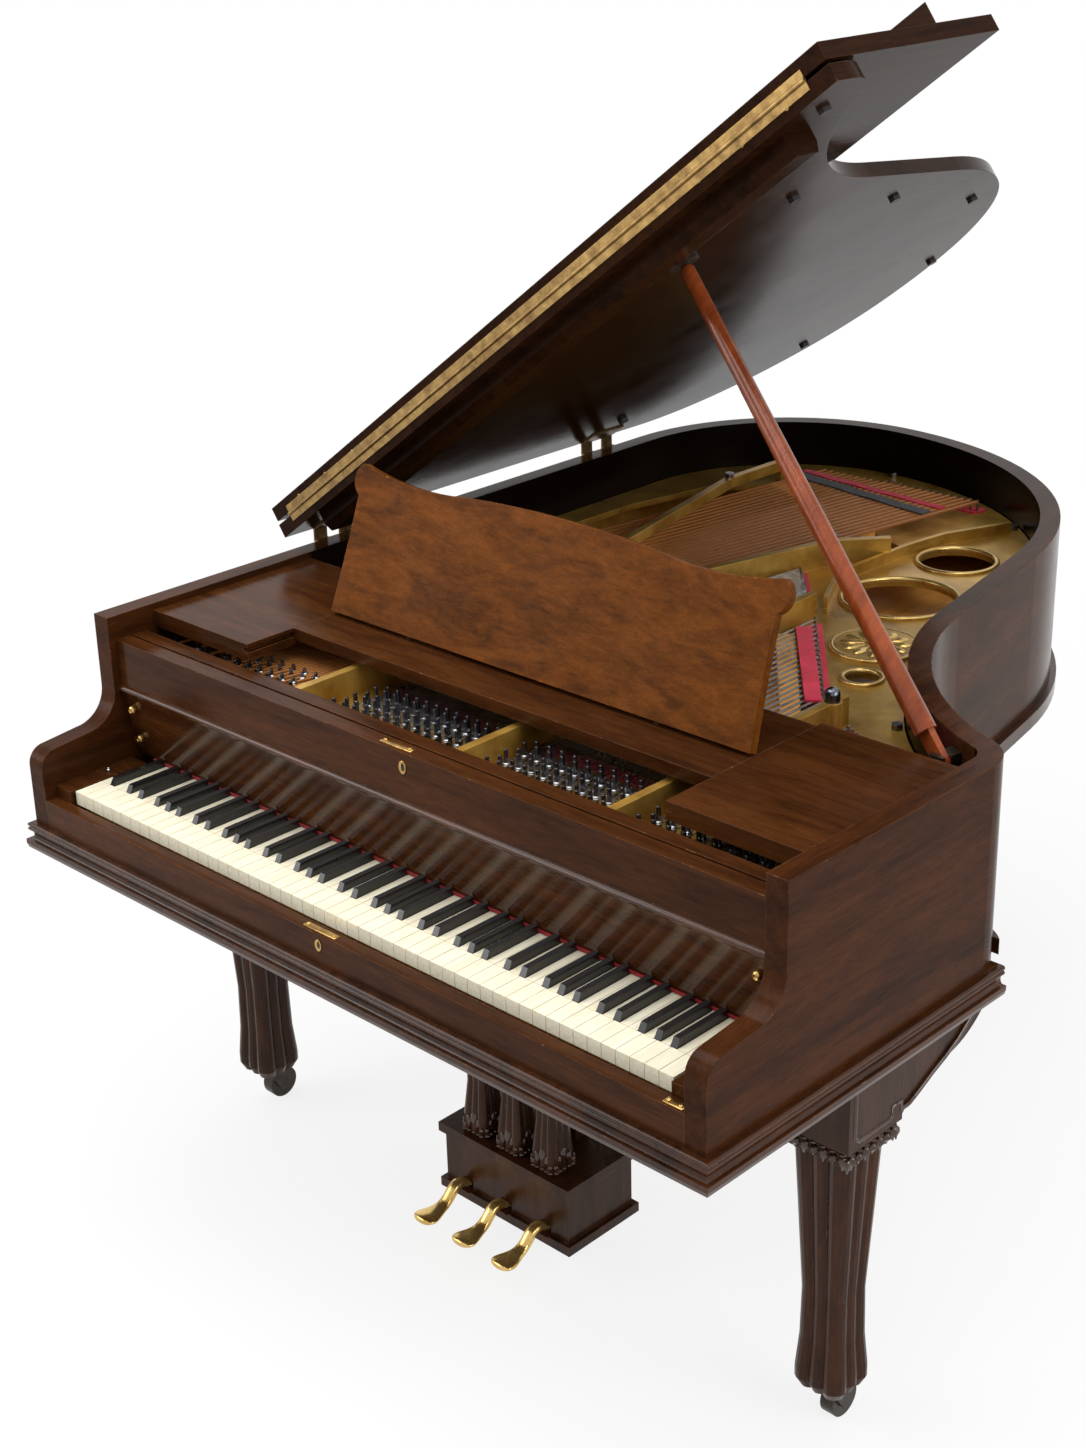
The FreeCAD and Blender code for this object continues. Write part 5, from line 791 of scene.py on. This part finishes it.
def lobeAt(spot, normal, size, tilt=0.0):  # a lobe hangs down a face, turned by tilt in that face
    out = Vector(normal).normalized()
    side = Vector((0, 0, 1)).cross(out).normalized()
    frameOf = Matrix((side, -out, out.cross(side))).transposed().to_4x4()
    lean = Matrix.Rotation(tilt, 4, "Y")
    return copyOf(lobePattern, Matrix.Translation(spot) @ frameOf @ lean @ sized(size))


fourSides = ((0, -1), (1, 0), (0, 1), (-1, 0))
legCarving = {
    "frontLeftLegCarving": dict(spot=(-615, 360), low=470),
    "frontRightLegCarving": dict(spot=(615, 360), low=470),
    "rearLegCarving": dict(spot=(-130, 1480), low=511),
}
collar = dict(half=54.0, count=7, lower=dict(rise=8, share=0.52, out=5.5, tall=(11.0, 8.5)),
              upper=dict(rise=21, share=0.4, out=5.0, tall=4.2), corner=dict(rise=6, size=(6, 4, 11)))


def buildLegCarving(name, spot, low, half, count, lower, upper, corner):
    lobes = []
    pitch = 2 * half / count
    for nx, ny in fourSides:
        for index in range(count):
            slide = -half + pitch * (index + 0.5)
            x, y = spot[0] + nx * half - ny * slide, spot[1] + ny * half + nx * slide
            large = (pitch * lower["share"], lower["out"], lower["tall"][index % 2])
            small = (pitch * upper["share"], upper["out"], upper["tall"])
            lobes.append(lobeAt(at(x, y, low + lower["rise"]), (nx, ny, 0), large))
            lobes.append(lobeAt(at(x, y, low + upper["rise"]), (nx, ny, 0), small))
        edge = at(spot[0] + (nx - ny) * half, spot[1] + (nx + ny) * half, low + corner["rise"])
        lobes.append(lobeAt(edge, (nx - ny, nx + ny, 0), corner["size"]))
    dress(joined(lobes, name), "carvedWood", "case")


for name, look in legCarving.items():
    buildLegCarving(name, **look, **collar)

lyreLeaves = dict(columns=(-75, 0, 75), depth=365, base=175, foot=26, top=20, tall=90,
                  # slide, rise, width and length of each leaf
                  fan=((0, 36, 7, 24), (-10, 26, 5.5, 19), (10, 26, 5.5, 19), (-18, 14, 4.6, 12),
                       (18, 14, 4.6, 12)),
                  leaf=dict(lift=2, rise=0.72, out=3.4, length=0.62, lean=0.07, spread=0.022),
                  bud=dict(lift=4, size=(4.8, 3.6, 4)))


def buildLyreLeaves(columns, depth, base, foot, top, tall, fan, leaf, bud):
    lobes = []
    for column in columns:
        for nx, ny in fourSides:
            for slide, rise, wide, long in fan:
                out = foot + (top - foot) * rise / tall
                x, y = column + nx * out - ny * slide, depth + ny * out + nx * slide
                spot = at(x, y, base + leaf["lift"] + rise * leaf["rise"])
                size = (wide, leaf["out"], long * leaf["length"])
                lobes.append(lobeAt(spot, (nx, ny, leaf["lean"]), size, slide * leaf["spread"]))
                lobes.append(lobeAt(at(x, y, base + bud["lift"]), (nx, ny, 0), bud["size"]))
    dress(joined(lobes, "lyreFootLeaves"), "carvedWood", "case")


buildLyreLeaves(**lyreLeaves)


# raised beads on the sides of the leg blocks and corbels
corbelBeads = {
    "frontLeftCorbelBeads": dict(spot=(-615, 360), low=496, way=1),
    "frontRightCorbelBeads": dict(spot=(615, 360), low=496, way=1),
    "rearCorbelBeads": dict(spot=(-130, 1480), low=537, way=-1),
}
beadLine = dict(half=57.5, radius=4.0,
                # back and rise of each point along a side
                points=((-46, 100), (-46, 22), (-38, 13), (30, 13), (36, 15), (36, 30), (56, 30), (56, 16),
                        (75, 17), (96, 26), (128, 41), (156, 52), (184, 66), (214, 88), (232, 100)))


def buildCorbelBeads(name, spot, low, way, half, radius, points):
    beads = []
    for side in (-1, 1):
        data = bpy.data.curves.new(name, "CURVE")
        data.dimensions = "3D"
        data.bevel_depth = radius / 1000
        data.bevel_resolution = 2
        data.use_fill_caps = True
        line = data.splines.new("POLY")
        line.points.add(len(points) - 1)
        for point, (back, rise) in zip(line.points, points):
            point.co = (*at(spot[0] + side * half, spot[1] + way * back, low + rise), 1)
        bead = bpy.data.objects.new(name, data)
        bpy.context.collection.objects.link(bead)
        choose(bead)
        bpy.ops.object.convert(target="MESH")
        beads.append(bpy.context.object)
    dress(joined(beads, name), "carvedWood", "case", 0.9)


for name, look in corbelBeads.items():
    buildCorbelBeads(name, **look, **beadLine)
print("stage: carving")


# rounded rings on the plate's holes, and a plain rosette on its boss
plateRings = {
    "tailHoleRing": dict(spot=(63, 1417), radius=69),
    "largeHoleRing": dict(spot=(98, 1200), radius=98),
    "smallHoleRing": dict(spot=(258, 876), radius=31),
    "bossRing": dict(spot=(194, 998), radius=69),
}
ringShape = dict(tube=5.0, level=877.0, flatten=0.75, lip=2, drop=2.5)


def buildPlateRing(name, spot, radius, tube, level, flatten, lip, drop):
    middle = at(*spot, level)
    ring = newShape("torus", middle, major_segments=64, minor_segments=10,
                    major_radius=radius / 1000, minor_radius=tube / 1000)
    pick(ring, lambda corner: corner.co.z > middle.z + 0.001, "VERT")
    bpy.ops.transform.resize(value=(1, 1, flatten), center_override=middle)
    pick(ring, lambda face: (face.center - middle).xy.length < (radius - lip) / 1000 and face.normal.z < -0.2)
    bpy.ops.transform.translate(value=(0, 0, -drop / 1000))
    bpy.ops.object.mode_set(mode="OBJECT")
    ring.name = name
    # the rings take the brighter gold, partly a painted highlight
    dress(ring, "litPlateGold", "case", 1.0)


for name, look in plateRings.items():
    buildPlateRing(name, **look, **ringShape)

rosette = dict(spot=(194, 998), level=880, petals=12, reach=38, size=(9, 3.2, 20), heart=16, dish=0.4, drop=2.2)


def buildRosette(spot, level, petals, reach, size, heart, dish, drop):
    middle = at(*spot, level)
    parts = []
    for index in range(petals):
        turn = Matrix.Rotation(math.tau * index / petals, 4, "Z")
        lay = Matrix.Translation((0, reach / 1000, 0)) @ Matrix.Rotation(-math.pi / 2, 4, "X") @ sized(size)
        parts.append(copyOf(lobePattern, Matrix.Translation(middle) @ turn @ lay))
    dome = newShape("uv_sphere", middle, (heart / 1000, heart / 1000, heart / 2600), segments=24, ring_count=12,
                    radius=1)
    pick(dome, lambda corner: corner.co.z > middle.z
         and (corner.co - middle).xy.length < heart * dish / 1000, "VERT")
    bpy.ops.transform.translate(value=(0, 0, -drop / 1000))
    bpy.ops.object.mode_set(mode="OBJECT")
    # the rosette takes the brighter gold, partly a painted highlight
    dress(joined(parts + [dome], "bossRosette"), "litPlateGold", "case", 1.0)


buildRosette(**rosette)
bpy.data.objects.remove(lobePattern)


# felt laced over the back lengths of the strings, and laid at the tail
laidFelts = {
    "greyLacing": dict(start=(-432, 1592), end=(-92, 1545), width=26, low=898.4, high=901.4, look="greyFelt"),
    "redLacing": dict(start=(-424, 1618), end=(-84, 1588), width=16, low=898.4, high=900.6, look="crimsonFelt"),
    "tailFelt": dict(start=(-408, 1668), end=(-56, 1681), width=20, low=875, high=879, look="crimsonFelt"),
    "tenorLacing": dict(start=(76, 967), end=(274, 734), width=25, low=885.6, high=889, look="crimsonFelt"),
    "trebleLacing": dict(start=(387, 666), end=(575, 566), width=20, low=885.6, high=889, look="crimsonFelt"),
}
feltWave = dict(lift=0.6, rate=520, soft=0.6)  # it rides over and under the strings a little


def buildLaidFelt(name, start, end, width, low, high, look, lift, rate, soft):
    a, b = at(*start, low), at(*end, low)
    run = b - a
    strip = newShape("cube", (a + b) / 2 + Vector((0, 0, (high - low) / 2000)),
                     (run.length, width / 1000, (high - low) / 1000), (0, 0, math.atan2(run.y, run.x)), size=1)
    pick(strip, lambda face: True)
    bpy.ops.mesh.subdivide(number_cuts=24)
    bpy.ops.object.mode_set(mode="OBJECT")
    for corner in strip.data.vertices:
        corner.co.z += lift / 1000 * math.sin((corner.co - a).dot(run.normalized()) * rate)
    soften(strip, soft)
    strip.name = name
    dress(strip, look, "case", 1.0)


for name, look in laidFelts.items():
    buildLaidFelt(name, **look, **feltWave)


# two turns of wire round each tuning pin, at the height of the nearest string
pinCoils = dict(radius=4.3, tube=1.5, turns=2, spacing=1.7, stringReach=140, apart=5.8)


def pinPlaces(apart):  # corners that lie close together belong to one pin
    sums = []
    for corner in nodes["tuning_pins"].data.vertices:
        flat = corner.co.xy
        for entry in sums:
            if (entry[0] / entry[1] - flat).length < apart / 1000:
                entry[0] += flat
                entry[1] += 1
                break
        else:
            sums.append([flat.copy(), 1])
    return [total / count for total, count in sums]


def buildPinCoils(radius, tube, turns, spacing, stringReach, apart):
    ends = [corner.co for name in ("bass_strings", "treble_strings") for corner in nodes[name].data.vertices]
    front = min(end.y for end in ends)
    ends = [end for end in ends if end.y < front + stringReach / 1000]
    coil = newShape("torus", major_segments=8, minor_segments=4, major_radius=radius / 1000,
                    minor_radius=tube / 1000)
    pick(coil, lambda face: face.center.x > 0)
    bpy.ops.transform.translate(value=(0, 0, tube / 2500))
    bpy.ops.object.mode_set(mode="OBJECT")
    coils = []
    for spot in pinPlaces(apart):
        level = min(ends, key=lambda end: (end.xy - spot).length_squared).z
        for turn in range(turns):
            lift = level + (turn - 1) * tube * spacing / 1000
            coils.append(copyOf(coil, Matrix.Translation((spot.x, spot.y, lift))))
    bpy.data.objects.remove(coil)
    print("pin coils:", len(coils))
    dress(joined(coils, "pinCoils"), "drawnSteel", "case", 1.2)


buildPinCoils(**pinCoils)
print("stage: plate, felt and wire details")


# camera, taken from the key ends, arms and feet in the picture
cameraPlace = dict(eye=(2071.32, -1664.04, 2144.62), yaw=0.7777, pitch=-0.4011, roll=-0.0265,
                   focal=2193.66, longSide=1448.0, offCentre=(-2.85, -14.0))


def buildCamera(eye, yaw, pitch, roll, focal, longSide, offCentre):
    forward = Vector((-math.sin(yaw) * math.cos(pitch), math.cos(yaw) * math.cos(pitch), math.sin(pitch)))
    right = Vector((math.cos(yaw), math.sin(yaw), 0.0))
    up = right.cross(forward)
    sideways = right * math.cos(roll) + up * math.sin(roll)
    upright = up * math.cos(roll) - right * math.sin(roll)
    data = bpy.data.cameras.new("studioCamera")
    data.lens = focal / longSide * data.sensor_width
    data.shift_x = -offCentre[0] / longSide
    data.shift_y = offCentre[1] / longSide
    data.clip_end = 100.0
    camera = bpy.data.objects.new("studioCamera", data)
    bpy.context.collection.objects.link(camera)
    turn = Matrix((sideways, upright, -forward)).transposed().to_4x4()
    camera.matrix_world = Matrix.Translation(at(*eye)) @ turn
    bpy.context.scene.camera = camera


buildCamera(**cameraPlace)


# floor, world and lamps
lampPlaces = {
    "overheadSoftbox": dict(spot=(-300, 300, 3600), aim=(0, 900, 700), size=3.0, power=102),
    "leftSoftbox": dict(spot=(-2600, -2200, 2400), aim=(0, 500, 700), size=2.2, power=61),
    "rightSoftbox": dict(spot=(3200, 600, 2000), aim=(300, 700, 700), size=1.8, power=52),
}


def shownRays(tree):  # what the camera sees, straight or in a reflection
    path = tree.nodes.new("ShaderNodeLightPath")
    direct = mathNode(tree, "ADD", path.outputs["Is Camera Ray"], path.outputs["Is Glossy Ray"], clamp=True)
    return mathNode(tree, "ADD", direct, path.outputs["Is Transmission Ray"], clamp=True)


stageLook = dict(width=80.0, below=0.0005, tone=(0.9, 0.9, 0.9, 1), rough=0.9, white=(1, 1, 1, 1),
                 near=(0.9, 0.82), far=(2.6, 1.0), ambient=0.55)


def buildFloor(width, below, tone, rough, white, near, far):
    bpy.ops.object.select_all(action="DESELECT")
    bpy.ops.mesh.primitive_plane_add(size=width, location=(0, 0, -below))
    floor = bpy.context.object
    floor.name = "paleFloor"
    material = bpy.data.materials.new("paleFloor")
    material.use_nodes = True
    tree = material.node_tree
    shader = tree.nodes["Principled BSDF"]
    shader.inputs["Base Color"].default_value = tone
    shader.inputs["Roughness"].default_value = rough
    glow = tree.nodes.new("ShaderNodeEmission")
    glow.inputs["Color"].default_value = white
    place = tree.nodes.new("ShaderNodeTexCoord").outputs["Object"]
    away = vectorNode(tree, "LENGTH", "Value", place)
    share = rangeNode(tree, away, near[0], far[0], near[1], far[1])  # paler further from the piano
    blend = tree.nodes.new("ShaderNodeMixShader")
    tree.links.new(mathNode(tree, "MULTIPLY", shownRays(tree), share), blend.inputs[0])
    tree.links.new(shader.outputs[0], blend.inputs[1])
    tree.links.new(glow.outputs[0], blend.inputs[2])
    tree.links.new(blend.outputs[0], tree.nodes["Material Output"].inputs["Surface"])
    floor.data.materials.append(material)


def buildStage(ambient, white, **floorLook):
    buildFloor(white=white, **floorLook)
    world = bpy.data.worlds.new("studioWorld")
    bpy.context.scene.world = world
    world.use_nodes = True
    tree = world.node_tree
    ground = tree.nodes["Background"]
    ground.inputs["Color"].default_value = white
    tree.links.new(rangeNode(tree, shownRays(tree), 0.0, 1.0, ambient, 1.0), ground.inputs["Strength"])
    for name, lamp in lampPlaces.items():
        data = bpy.data.lights.new(name, "AREA")
        data.energy = lamp["power"]
        data.size = lamp["size"]
        light = bpy.data.objects.new(name, data)
        bpy.context.collection.objects.link(light)
        light.location = at(*lamp["spot"])
        light.rotation_euler = (at(*lamp["aim"]) - light.location).to_track_quat("-Z", "Y").to_euler()


buildStage(**stageLook)
bpy.context.scene.view_settings.view_transform = "Standard"
print("stage: camera, floor and lamps")
